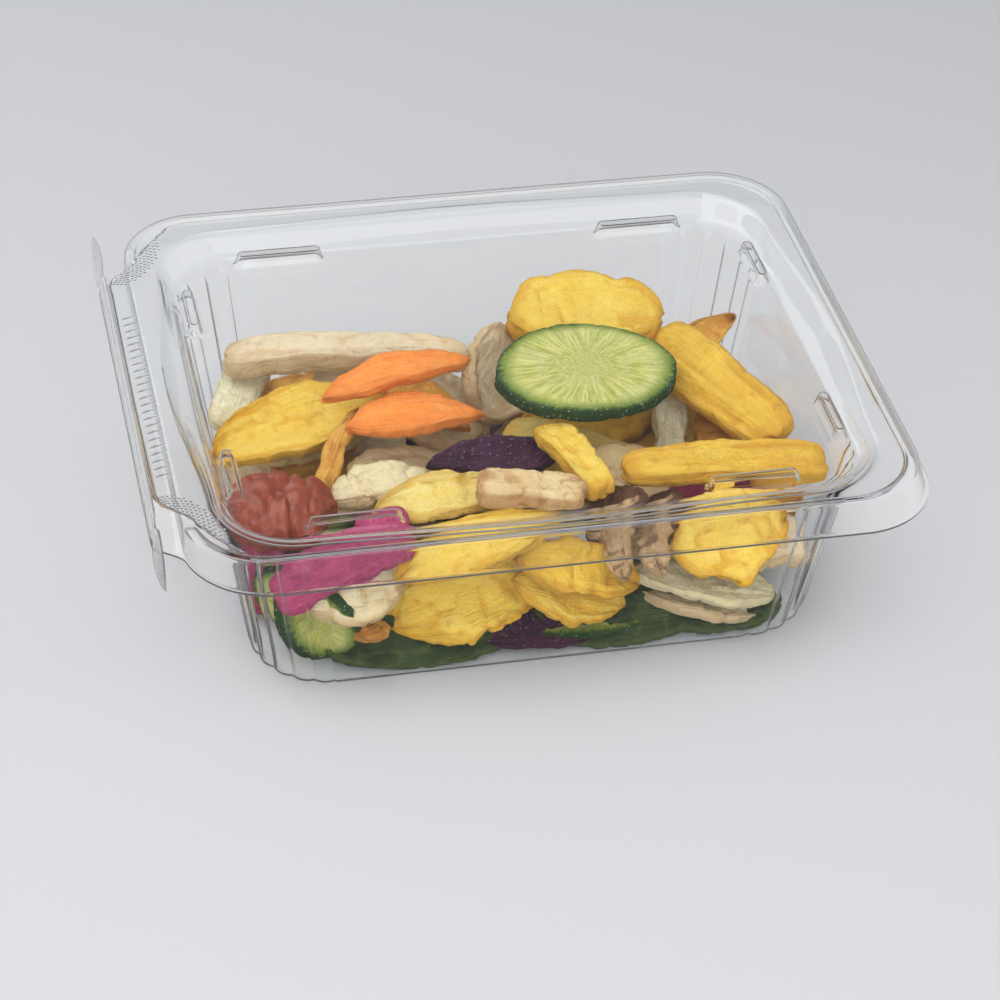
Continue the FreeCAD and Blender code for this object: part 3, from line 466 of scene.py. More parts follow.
@dataclass(frozen=True)
class Flesh:
    """Finish of a dried chip: two tones in soft patches, lengthwise streaks, painted shade in its pressed-in valleys,
    an edge tone and specks.
    """

    slot: str
    light: Colour
    deep: Colour
    edge: Colour
    streak: Colour
    speck: Colour
    streak_share: float = 0.4
    edge_share: float = 0.65
    speck_share: float = 0.5
    speck_size: float = 0.12
    patch_scale: float = 150.0
    spacing: float = 9.0
    roughness: float = 0.72
    sheen: float = 0.0
    grain: float = 0.8
    subsurface: float = 0.04
    rim_start: float = 0.72
    rim_end: float = 1.0
    blotch_scale: float = 190.0
    toast_share: float = 0.45
    # Painted shade: how strongly, and from which depth, the pressed-in valleys take the darker edge tone.
    painted_crease_shade_share: float = 0.6
    painted_crease_shade_window: tuple[float, float] = (0.5, 1.0)
    blotch_weight: float = 1.4
    worn_window: tuple[float, float] = (0.9, 1.7)
    toast_window: tuple[float, float] = (0.58, 0.72)
    streak_relief: float = 0.45
    relief: float = 0.0009
    shine: float = 0.35

    def mottle(self, wiring: Wiring, speck_size: float) -> dict[str, Socket]:
        """Put in the shared patches, specks and grain."""
        inputs = {"Vector": wiring.place(), "Patch Scale": self.patch_scale, "Speck Size": speck_size}
        return wiring.add("Group", inputs, node_tree=SharedEffects.mottle()).outputs

    def base(self, wiring: Wiring) -> tuple[Socket, Socket]:
        """Work out the flesh.

        Args:
            wiring: The finish's wiring.

        Returns:
            Its colour and its surface height.
        """
        mottle = self.mottle(wiring, self.speck_size)
        colour = wiring.mixed(mottle["Patches"], self.light, self.deep)
        inputs = {"Vector": wiring.attribute("span", "Vector"), "Spacing": self.spacing}
        streaks = wiring.add("Group", inputs, node_tree=SharedEffects.fibres()).outputs["Streaks"]
        colour = wiring.mixed(wiring.scaled(streaks, self.streak_share), colour, self.streak)
        # Painted shade: the deepest pressed-in valleys are mixed towards the darker edge tone.
        painted_crease_shade = wiring.window(wiring.attribute("painted_crease_shade"), *self.painted_crease_shade_window)
        colour = wiring.mixed(wiring.scaled(painted_crease_shade, self.painted_crease_shade_share), colour, self.edge)
        rim = wiring.window(wiring.attribute("rim"), self.rim_start, self.rim_end)
        blotch = wiring.noise(wiring.place(), self.blotch_scale, 6.0, 0.65)
        worn = wiring.window(wiring.maths("MULTIPLY_ADD", blotch, self.blotch_weight, rim), *self.worn_window)
        colour = wiring.mixed(wiring.scaled(worn, self.edge_share), colour, self.edge)
        toasted = wiring.scaled(wiring.window(blotch, *self.toast_window), self.toast_share)
        colour = wiring.mixed(toasted, colour, self.speck)
        colour = wiring.mixed(wiring.scaled(mottle["Specks"], self.speck_share), colour, self.speck)
        return colour, wiring.maths("ADD", mottle["Height"], wiring.scaled(streaks, self.streak_relief))

    def material(self, name: str) -> bpy.types.Material:
        """Build the finish.

        Args:
            name: The material's name.

        Returns:
            The material.
        """
        made, wiring = new_material(name)
        colour, height = self.base(wiring)
        bump = wiring.add("Bump", {"Strength": self.grain, "Distance": self.relief, "Height": height})
        shader = wiring.add("BsdfPrincipled", {
            "Base Color": colour, "Roughness": self.roughness, "Specular IOR Level": self.shine,
            "Subsurface Weight": self.subsurface, "Subsurface Radius": (1.0, 0.5, 0.25), "Subsurface Scale": 0.003,
            "Coat Weight": self.sheen, "Coat Roughness": 0.25, "Normal": bump.outputs["Normal"]})
        wiring.add("OutputMaterial", {"Surface": shader.outputs[0]})
        return made


@dataclass(frozen=True)
class RimmedSlice(Flesh):
    """Finish of a green vegetable slice: dark skin, a green band inside it and pale, rayed flesh."""

    skin: Colour = (0.018, 0.045, 0.012)
    band: Colour = (0.13, 0.2, 0.025)
    frost: Colour = (0.5, 0.56, 0.42)
    frost_size: float = 0.2
    ray_window: tuple[float, float] = (0.4, 0.62)
    soft_share: float = 0.35
    rim_wobble: float = 0.16
    band_window: tuple[float, float] = (0.84, 1.05)
    skin_window: tuple[float, float] = (1.0, 1.07)

    def base(self, wiring: Wiring) -> tuple[Socket, Socket]:
        """Work out the slice.

        Args:
            wiring: The finish's wiring.

        Returns:
            Its colour and its surface height.
        """
        rays = wiring.noise(wiring.attribute("ray", "Vector"), 7.0, 6.0, 0.7)
        mottle = self.mottle(wiring, self.frost_size)
        colour = wiring.mixed(wiring.window(rays, *self.ray_window), self.deep, self.light)
        colour = wiring.mixed(wiring.scaled(mottle["Patches"], self.soft_share), colour, self.streak)
        rim = wiring.maths("MULTIPLY_ADD", rays, self.rim_wobble, wiring.attribute("rim"))
        colour = wiring.mixed(wiring.window(rim, *self.band_window), colour, self.band)
        colour = wiring.mixed(wiring.window(rim, *self.skin_window), colour, self.skin)
        colour = wiring.mixed(wiring.scaled(mottle["Specks"], self.soft_share), colour, self.frost)
        return colour, wiring.maths("ADD", mottle["Height"], rays)


@dataclass(frozen=True)
class WrinkledSkin(Flesh):
    """Finish of a whole dried fruit: glossy, creased skin."""

    crease_scale: float = 75.0
    crease_window: tuple[float, float] = (0.75, 1.25)

    def base(self, wiring: Wiring) -> tuple[Socket, Socket]:
        """Work out the skin.

        Args:
            wiring: The finish's wiring.

        Returns:
            Its colour and its surface height.
        """
        creases = wiring.noise(wiring.place(), self.crease_scale, 3.0, distortion=0.8, noise_type="RIDGED_MULTIFRACTAL")
        mottle = self.mottle(wiring, self.speck_size)
        colour = wiring.mixed(mottle["Patches"], self.light, self.deep)
        colour = wiring.mixed(wiring.window(creases, *self.crease_window), colour, self.streak)
        return wiring.mixed(wiring.scaled(mottle["Specks"], self.speck_share), colour, self.speck), creases


class Finish(Enum):
    """The finishes of the chips."""

    GREEN_SLICE = RimmedSlice(
        "green_slice", (0.68, 0.64, 0.19), (0.34, 0.38, 0.045), (0.02, 0.05, 0.01),
        (0.68, 0.68, 0.4), (0.6, 0.65, 0.5), grain=0.6)
    # Partly painted shade: a near-black green for the slices along the front foot, dark also for the shade that lies
    # there.
    DARK_SKIN_AND_FOOT_SHADE = Flesh(
        "green_slice", (0.05, 0.075, 0.025), (0.018, 0.035, 0.012), (0.1, 0.14, 0.045),
        (0.03, 0.05, 0.018), (0.2, 0.24, 0.14), toast_share=0.1)
    CARROT = Flesh(
        "orange_chip", (1.0, 0.34, 0.05), (0.9, 0.22, 0.02), (0.88, 0.26, 0.05),
        (0.95, 0.45, 0.18), (0.86, 0.5, 0.3), grain=0.7, toast_share=0.2)
    PINK_BEET = Flesh(
        "beet_chip", (0.5, 0.06, 0.17), (0.28, 0.015, 0.07), (0.42, 0.05, 0.14),
        (0.56, 0.13, 0.24), (0.62, 0.22, 0.32))
    DARK_BEET = Flesh(
        "beet_chip", (0.075, 0.02, 0.05), (0.025, 0.008, 0.02), (0.09, 0.03, 0.06),
        (0.09, 0.03, 0.07), (0.34, 0.24, 0.32), speck_share=0.7, speck_size=0.18, grain=1.0,
        toast_share=0.1)
    YELLOW = Flesh(
        "yellow_chip", (0.97, 0.7, 0.1), (0.88, 0.53, 0.035), (0.74, 0.36, 0.02),
        (0.94, 0.72, 0.22), (0.58, 0.26, 0.04), speck_share=0.25, streak_share=0.45)
    GOLD = Flesh(
        "yellow_chip", (0.93, 0.6, 0.06), (0.78, 0.41, 0.02), (0.7, 0.34, 0.03),
        (0.92, 0.64, 0.14), (0.5, 0.18, 0.03), speck_share=0.25, streak_share=0.55, spacing=11.0)
    LEMON = Flesh(
        "yellow_chip", (0.95, 0.76, 0.24), (0.88, 0.6, 0.08), (0.78, 0.46, 0.07),
        (0.95, 0.82, 0.38), (0.58, 0.3, 0.07), speck_share=0.25, streak_share=0.45)
    AMBER = Flesh(
        "amber_chip", (0.88, 0.49, 0.09), (0.68, 0.28, 0.03), (0.55, 0.2, 0.03),
        (0.84, 0.52, 0.15), (0.35, 0.1, 0.02), speck_share=0.3, streak_share=0.5)
    CREAM = Flesh(
        "pale_chip", (0.92, 0.81, 0.52), (0.8, 0.62, 0.32), (0.68, 0.46, 0.2),
        (0.93, 0.84, 0.58), (0.35, 0.18, 0.06), speck_share=0.35, streak_share=0.35, toast_share=0.5)
    STRAW = Flesh(
        "pale_chip", (0.9, 0.76, 0.52), (0.78, 0.6, 0.36), (0.66, 0.45, 0.22),
        (0.92, 0.8, 0.58), (0.42, 0.24, 0.11), speck_share=0.3, streak_share=0.35, toast_share=0.4)
    TOAST = Flesh(
        "pale_chip", (0.88, 0.69, 0.37), (0.72, 0.48, 0.19), (0.46, 0.2, 0.06),
        (0.9, 0.75, 0.46), (0.34, 0.14, 0.05), speck_share=0.4, streak_share=0.35, toast_share=0.6)
    IVORY = Flesh(
        "pale_chip", (0.92, 0.87, 0.61), (0.84, 0.76, 0.46), (0.76, 0.62, 0.33),
        (0.93, 0.89, 0.68), (0.5, 0.36, 0.16), speck_share=0.2, streak_share=0.3, toast_share=0.2)
    MUSHROOM = Flesh(
        "mushroom", (0.8, 0.54, 0.29), (0.56, 0.32, 0.13), (0.11, 0.045, 0.02),
        (0.76, 0.54, 0.32), (0.16, 0.07, 0.04), edge_share=0.97, rim_start=0.5, rim_end=0.8, grain=1.0)
    TOMATO = WrinkledSkin(
        "dried_tomato", (0.3, 0.06, 0.025), (0.16, 0.024, 0.01), (0.2, 0.03, 0.01),
        (0.36, 0.1, 0.05), (0.55, 0.28, 0.2), speck_share=0.15, roughness=0.42, sheen=0.35,
        grain=1.0, subsurface=0.1)


# The clear pack


@dataclass
class FormedSheet:
    """A part of the pack that is formed from clear sheet."""

    sheet: float = 0.5
    finish: ClearSheet = field(default_factory=ClearSheet)

    def formed(self, name: str, places: tuple[np.ndarray, ...], faces: list[list[int]], side: float) -> Piece:
        """Make the sheet.

        Args:
            name: The piece's name.
            places: The x, y and z of its grid.
            faces: Point numbers of each face.
            side: 1 to thicken it along the faces' normals, -1 against them, 0 both ways.

        Returns:
            The piece.
        """
        piece = put_mesh(name, np.stack(places, axis=2).reshape(-1, 3), faces)
        modifier = piece.modifiers.new("sheet", "SOLIDIFY")
        modifier.thickness = self.sheet * METRES
        modifier.offset = side
        return piece


@dataclass
class Tray(FormedSheet):
    """The tray: fluted bowl, flared shelf, flange, bead, skirt, lip and hinge leaf, one formed sheet."""

    flute_depth: float = 1.7
    flutes: int = 5
    bead_height: float = 1.9
    bead_gap: float = 60.0
    leaf_reach: float = 6.7
    leaf_half: float = 55.0
    leaf_fade: float = 7.5
    corner_steps: int = 50

    def rings(self) -> np.ndarray:
        """Round the underside's profile, which runs from the floor's middle to the lip.

        Each row holds: right and left half length, half depth, corner radius, bow of the ends, bow of the
        sides, flute depth, level, share of the bead, share of the leaf.

        Returns:
            One such row for each ring.
        """
        f = self.flute_depth
        rows = [
            (36.0, 36.0, 26.0, 6.0, 0, 0, 0, 0, 0, 0),
            (71.3, 71.3, 55.8, 18.0, 0, 0, 0.2 * f, 0, 0, 0),
            (73.1, 73.1, 57.6, 19.0, 0, 0, 0.5 * f, 1.1, 0, 0),
            (73.9, 73.9, 58.4, 19.4, 0, 0, f, 5.0, 0, 0),
            (80.4, 80.4, 64.9, 22.7, 0.2, 0.2, f, 46.0, 0, 0),
            (80.9, 80.9, 65.4, 22.9, 0.4, 0.4, 0.15 * f, 49.3, 0, 0),
            (82.2, 82.2, 67.2, 22.0, 1.2, 1.0, 0, 50.3, 0, 0),
            (84.0, 84.0, 69.6, 20.2, 4.3, 2.4, 0, 55.5, 0, 0),
            (89.0, 89.0, 74.6, 17.5, 0, 0, 0, 55.5, 0, 0),
            (89.4, 89.4, 75.0, 17.9, 0, 0, 0, 55.5 + self.bead_height, 1, 0),
            (91.4, 91.4, 77.0, 19.9, 0, 0, 0, 55.5 + self.bead_height, 1, 0),
            (94.3, 91.4, 77.6, 20.5, 0, 0, 0, 48.4, 0, 0),
            (95.7, 92.4, 78.9, 21.8, 0, 0, 0, 48.4, 0, 1),
        ]
        cuts = [0.0, 1.2, 1.2, 2.0, 1.5, 0.8, 0.9, 1.3, 0.5, 0.5, 0.8, 0.7, 0.0]
        steps = [4, 2, 3, 18, 4, 2, 5, 4, 2, 2, 8, 4]
        return rounded_path(np.array(rows), cuts, [0, 7], steps)

    def build(self) -> Piece:
        """Carry the profile round the plan, drop the bead on the hinge side and draw out the leaf.

        Returns:
            The piece.
        """
        rings = self.rings()
        ends = gathered([-0.99, 0.99], 0.08, 9, 33)
        plan = Plan.of(ends, np.linspace(-1.0, 1.0, 41), self.corner_steps, self.flutes)
        x, y = plan.outlines(rings[:, :7])
        level = np.repeat(rings[:, 7:8], x.shape[1], axis=1)
        hinge_side = (x < HINGE_X) * (1.0 - smooth_step(self.bead_gap - 2.0, self.bead_gap + 2.0, np.abs(y)))
        level = level - self.bead_height * rings[:, 8:9] * hinge_side
        leaf = (x < HINGE_X) * (1.0 - smooth_step(self.leaf_half, self.leaf_half + self.leaf_fade, np.abs(y)))
        x = x - self.leaf_reach * rings[:, 9:10] * leaf
        faces = grid_faces(len(rings), x.shape[1], True).tolist()
        faces.append(list(range(x.shape[1]))[::-1])
        piece = self.formed("tray_shell", (x, y, level), faces, -1.0)
        piece.data.materials.append(self.finish.material("clear_tray"))
        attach(piece, "tray")
        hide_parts("tray")
        return piece


@dataclass
class Lid(FormedSheet):
    """The lid: flange with its hinge side, bowed recess, flat panel and eight stacking lugs."""

    top: float = 56.8
    panel: float = 51.8
    lug_height: float = 3.2
    lug_slope: float = 1.1
    side_lug: tuple[float, float, float, float] = (50.0, 59.2, 12.2, 2.5)
    end_lug: tuple[float, float, float, float] = (77.0, 36.0, 2.3, 9.5)
    straight_side: float = 63.6
    straight_end: float = 46.0
    ear_reach: float = 8.7
    ear_fade: tuple[float, float] = (47.0, 58.0)
    ear_corner: tuple[float, float] = (90.0, 57.0)
    ear_slant: float = 0.75

    def rings(self) -> np.ndarray:
        """Round the top side's profile, which runs from the panel's middle to the edge.

        Each row holds: right and left half length, half depth, corner radius, bow of the ends, bow of the
        sides, flute depth, level, share of the hinge side's reach.

        Returns:
            One such row for each ring.
        """
        rows = [
            (36.0, 36.0, 26.0, 6.0, 0, 0, 0, self.panel, 0),
            (73.4, 73.4, 55.6, 10.0, 0, 0, 0, self.panel, 0),
            (79.8, 79.8, 62.5, 16.0, 0.3, 0.3, 0, self.panel, 0),
            (83.0, 83.0, 68.8, 19.5, 4.2, 2.4, 0, self.top, 0),
            (88.7, 88.7, 74.3, 17.2, 0, 0, 0, self.top, 1),
        ]
        return rounded_path(np.array(rows), [0.0, 0.0, 1.3, 1.2, 0.0], [0, 7], [4, 17, 12, 8])

    def lug_rise(self, x: np.ndarray, y: np.ndarray) -> np.ndarray:
        """Raise the lugs: full height inside each round-ended bar, sloping to none at its edge.

        Args:
            x: Places along the pack.
            y: Places across it.

        Returns:
            How far each place rises.
        """
        rise = np.zeros_like(x)
        for mid_x, mid_y, half_x, half_y in (self.side_lug, self.end_lug):
            radius = min(half_x, half_y)
            dx = np.maximum(np.abs(np.abs(x) - mid_x) - (half_x - radius), 0.0)
            dy = np.maximum(np.abs(np.abs(y) - mid_y) - (half_y - radius), 0.0)
            inside = radius - np.hypot(dx, dy)
            rise = np.maximum(rise, self.lug_height * smooth_step(0.0, self.lug_slope, inside))
        return rise

    def hinge_edge(self, x: np.ndarray, y: np.ndarray) -> np.ndarray:
        """Draw the hinge side's edge: out to the fold, then cut in along a slant at each ear.

        Args:
            x: Places along the pack.
            y: Places across it.

        Returns:
            The edge's x at each place.
        """
        reach = -x + self.ear_reach * (1.0 - smooth_step(*self.ear_fade, np.abs(y)))
        corner_x, corner_y = self.ear_corner
        slant = corner_x - self.ear_slant * (np.abs(y) - corner_y)
        return -np.where(np.abs(y) > corner_y, np.minimum(reach, slant), reach)

    def build(self) -> Piece:
        """Carry the profile round the plan, raise the lugs and draw the flange out to the fold.

        Returns:
            The piece.
        """
        rings = self.rings()
        ways = [(sign, way) for sign in (1, -1) for way in (1, -1)]
        on_side = [sign * (self.side_lug[0] + way * self.side_lug[2]) / self.straight_side for sign, way in ways]
        on_end = [sign * (self.end_lug[1] + way * self.end_lug[3]) / self.straight_end for sign, way in ways]
        plan = Plan.of(gathered(on_end, 0.05, 11, 33), gathered(on_side, 0.045, 13, 41), 22, 1)
        x, y = plan.outlines(rings[:, :7])
        level = np.repeat(rings[:, 7:8], x.shape[1], axis=1)
        level = np.maximum(level, self.panel + self.lug_rise(x, y))
        edge = np.where(x < HINGE_X, self.hinge_edge(x, y), x)
        x = x + rings[:, 8:9] * (edge - x)
        faces = grid_faces(len(rings), x.shape[1], True)[:, ::-1].tolist()
        faces.append(list(range(x.shape[1])))
        piece = self.formed("lid_shell", (x, y, level), faces, -1.0)
        piece.data.materials.append(self.finish.material("clear_lid"))
        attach(piece, "lid")
        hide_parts("lid")
        return piece


@dataclass
class TearStrip(FormedSheet):
    """The tear strip: a leaning band between the two folds, with a knurled pull tab at each end."""

    sheet: float = 0.4
    half_band: float = 3.8
    band_end: float = 51.0
    tab_tip: float = 77.5
    tab_half: float = 4.1
    low: tuple[float, float] = (-99.05, 48.75)
    high: tuple[float, float] = (-97.6, 56.4)
    neck_depth: float = 1.7
    knurl: float = 0.16
    knurl_turn: float = 1.9
    crease: float = 0.12
    creases: float = 2.5
    rows: int = 420
    columns: int = 25
    finish: ClearSheet = field(default_factory=lambda: ClearSheet(roughness=0.08, ripple=0.3))

    def half_width(self, y: np.ndarray) -> np.ndarray:
        """Draw half the strip's width: even in the band, a neck, then a pointed lens.

        Args:
            y: Places along the strip.

        Returns:
            The half width at each place.
        """
        far = np.abs(y)
        share = np.clip((far - self.band_end) / (self.tab_tip - self.band_end), 0.0, 1.0)
        neck = self.half_band - self.neck_depth * smooth_step(0.0, 0.16, share)
        lens = self.tab_half * np.sin(math.pi * np.clip((share + 0.25) / 1.25, 0.0, 1.0)) ** 0.8
        blend = smooth_step(0.14, 0.34, share)
        return np.maximum(neck * (1.0 - blend) + lens * blend, 0.05)

    def build(self) -> Piece:
        """Lay the strip on a grid of places along and across it, and press the knurls into its tabs.

        Returns:
            The piece.
        """
        share = -np.cos(np.linspace(0.0, math.pi, self.rows)) * 0.25 + np.linspace(-0.75, 0.75, self.rows)
        y = share * self.tab_tip
        across = np.linspace(-1.0, 1.0, self.columns)
        length, width = np.meshgrid(y, across, indexing="ij")
        wide = width * self.half_width(length)
        low, high = np.array(self.low), np.array(self.high)
        middle = (low + high) / 2
        way = (high - low) / np.linalg.norm(high - low)
        out = np.array([-way[1], way[0]])
        tab = smooth_step(self.band_end + 5.0, self.band_end + 9.0, np.abs(length))
        turn = self.knurl_turn
        diamonds = np.abs(np.sin(length * turn + wide * turn)) * np.abs(np.sin(length * turn - wide * turn))
        fade = 1.0 - np.abs(width) ** 6
        lift = self.knurl * tab * diamonds * fade
        lift += self.crease * (1.0 - tab) * np.cos(width * math.pi * self.creases)
        x = middle[0] + wide * way[0] + lift * out[0] * -0.5
        z = middle[1] + wide * way[1] + lift * out[1] * -0.5
        faces = grid_faces(self.rows, self.columns, False).tolist()
        piece = self.formed("tear_strip_shell", (x, length, z), faces, 0.0)
        piece.data.materials.append(self.finish.material("clear_strip"))
        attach(piece, "strip")
        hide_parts("tear_strip")
        return piece


@dataclass
class FlangeMarks:
    """The raised marks on the lid's hinge side: a stippled leaf at each corner and a plain row of ribs."""

    level: float = 56.8
    dot_radius: float = 0.42
    dot_height: float = 0.26
    dot_pitch: float = 1.15
    leaf_half: float = 2.7
    leaf_length: float = 27.0
    leaf_path: tuple[tuple[float, float], ...] = ((-96.3, -46.8), (-87.6, -50.4), (-82.0, -67.6))
    rib_half: float = 2.3
    rib_width: float = 0.4
    rib_height: float = 0.12
    rib_pitch: float = 3.0
    rib_from: float = -38.0
    rib_to: float = 32.0
    rib_x: float = -93.6
    rib_lean: float = 0.35
    finish: ClearSheet = field(default_factory=lambda: ClearSheet(ripple=0.0))

    def leaf_curve(self, share: np.ndarray) -> tuple[np.ndarray, np.ndarray]:
        """Draw the leaf's middle line, a parabola led by three guides.

        Args:
            share: Places along it, from 0 to 1.

        Returns:
            The points and their unit normals.
        """
        start, guide, end = (np.array(place) for place in self.leaf_path)
        share = share[:, None]
        place = (1 - share) ** 2 * start + 2 * share * (1 - share) * guide + share**2 * end
        way = 2 * (1 - share) * (guide - start) + 2 * share * (end - guide)
        way = way / np.linalg.norm(way, axis=1, keepdims=True)
        return place, np.stack([-way[:, 1], way[:, 0]], axis=1)

    def domes(self, centres: np.ndarray, half_x: float, half_y: float, height: float,
              lean: float) -> tuple[np.ndarray, np.ndarray]:
        """Copy one small closed dome to each centre.

        Args:
            centres: Middle of each dome on the plan.
            half_x: Half length of a dome.
            half_y: Half width of a dome.
            height: Rise of a dome.
            lean: Shear of its length, for slanted ribs.

        Returns:
            All points and all faces.
        """
        spokes = 10
        angle = np.arange(spokes) * 2 * math.pi / spokes
        rings = [(1.0, -0.1), (0.85, 0.55), (0.5, 0.92)]
        unit = [np.stack([r * np.cos(angle), r * np.sin(angle), np.full(spokes, h)], axis=1) for r, h in rings]
        unit = np.vstack(unit + [np.array([[0.0, 0.0, 1.0]])])
        shape = unit * np.array([half_x, half_y, height])
        shape[:, 1] += lean * shape[:, 0]
        points = (shape[None, :, :] + np.pad(centres, ((0, 0), (0, 1)))[:, None, :]).reshape(-1, 3)
        side = grid_faces(len(rings), spokes, True)
        top = len(rings) * spokes
        last = (len(rings) - 1) * spokes + np.arange(spokes)
        cap = np.stack([last, np.roll(last, -1), np.full(spokes, top), np.full(spokes, top)], axis=1)
        starts = np.arange(len(centres))[:, None, None] * len(unit)
        faces = [list(dict.fromkeys(f)) for f in (np.vstack([side, cap])[None] + starts).reshape(-1, 4).tolist()]
        faces += (np.arange(spokes)[None, ::-1] + starts[:, :, 0]).tolist()
        return points, faces

    def build(self) -> list[Piece]:
        """Make the stippled leaf at both corners, and the row of slanted ribs between them.

        Returns:
            The three pieces.
        """
        steps = int(self.leaf_length / self.dot_pitch)
        share = (np.arange(steps) + 0.5) / steps
        place, normal = self.leaf_curve(share)
        half = self.leaf_half * np.sin(math.pi * np.clip(share * 0.92 + 0.04, 0, 1)) ** 0.7
        offsets = (np.arange(-3, 4)) * self.dot_pitch
        stagger = np.where(np.arange(steps) % 2 == 0, 0.0, self.dot_pitch / 2)
        across = offsets[None, :] + stagger[:, None]
        keep = np.abs(across) < half[:, None]
        dots = (place[:, None, :] + normal[:, None, :] * across[:, :, None])[keep]
        pieces = []
        material = self.finish.material("clear_marks")
        ribs = np.arange(self.rib_from, self.rib_to, self.rib_pitch)
        rows = np.stack([np.full(len(ribs), self.rib_x), ribs], axis=1)
        dot = (self.dot_radius, self.dot_radius, self.dot_height, 0.0)
        rib = (self.rib_half, self.rib_width, self.rib_height, self.rib_lean)
        mirrored = dots * [1.0, -1.0]
        marks = (("grip_leaf_front", dots, dot), ("grip_leaf_back", mirrored, dot), ("flange_ribs", rows, rib))
        for name, centres, measures in marks:
            points, faces = self.domes(centres, *measures)
            points[:, 2] += self.level
            piece = put_mesh(name, points, faces)
            piece.data.materials.append(material)
            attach(piece, "lid")
            pieces.append(piece)
        return pieces


# The chips


class Kind(Enum):
    """The kinds of chip: outline power, section power, end power, rings and spokes of its plain solid."""

    DISC = (2.0, 5.0, 7.0, 8, 8)
    LENS = (1.7, 2.6, 2.6, 7, 8)
    BAR = (6.0, 3.4, 6.0, 6, 8)
    HORN = (1.9, 2.0, 1.9, 6, 8)
    BOAT = (1.6, 2.4, 2.2, 8, 8)
    LUMP = (2.3, 2.3, 2.3, 7, 10)
    MUSHROOM = (2.0, 3.0, 5.0, 9, 8)


# How deep the top of each kind of chip dries hollow, as a share of its thickness.
HOLLOWS = {Kind.DISC: 0.1, Kind.LENS: 0.24, Kind.BAR: 0.06, Kind.HORN: 0.1, Kind.BOAT: 0.28,
           Kind.LUMP: 0.0, Kind.MUSHROOM: 0.12}

# Rings along a chip and points round each ring.
CHIP_RINGS, CHIP_SPOKES = 96, 72

# How far its tips reach, as a share of its half length.
TIP_REACH = 0.985

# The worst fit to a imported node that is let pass, in millimetres.
POSE_ERROR = 0.2

# A chip that reads the same both ways is taken to point to the right.
BACKWARDS_COST = 0.02


@dataclass(frozen=True)
class Drying:
    """How far a dried form leaves its plain solid, as shares of the chip's own measures or in millimetres."""

    edge_swing: float = 0.15
    end_swing: float = 0.09
    slimming: float = 0.3
    hollow_edge: float = 1.6
    twist_degrees: float = 7.0
    twist_width: float = 18.0
    edge_ruffle: float = 0.9
    flat_ruffle: float = 0.4
    valley_depth: float = 1.1
    valley_power: int = 6
    fine_depth: float = 0.4
    pore_depth: float = 0.2
    ridge_depth: float = 1.6


DRYING = Drying()


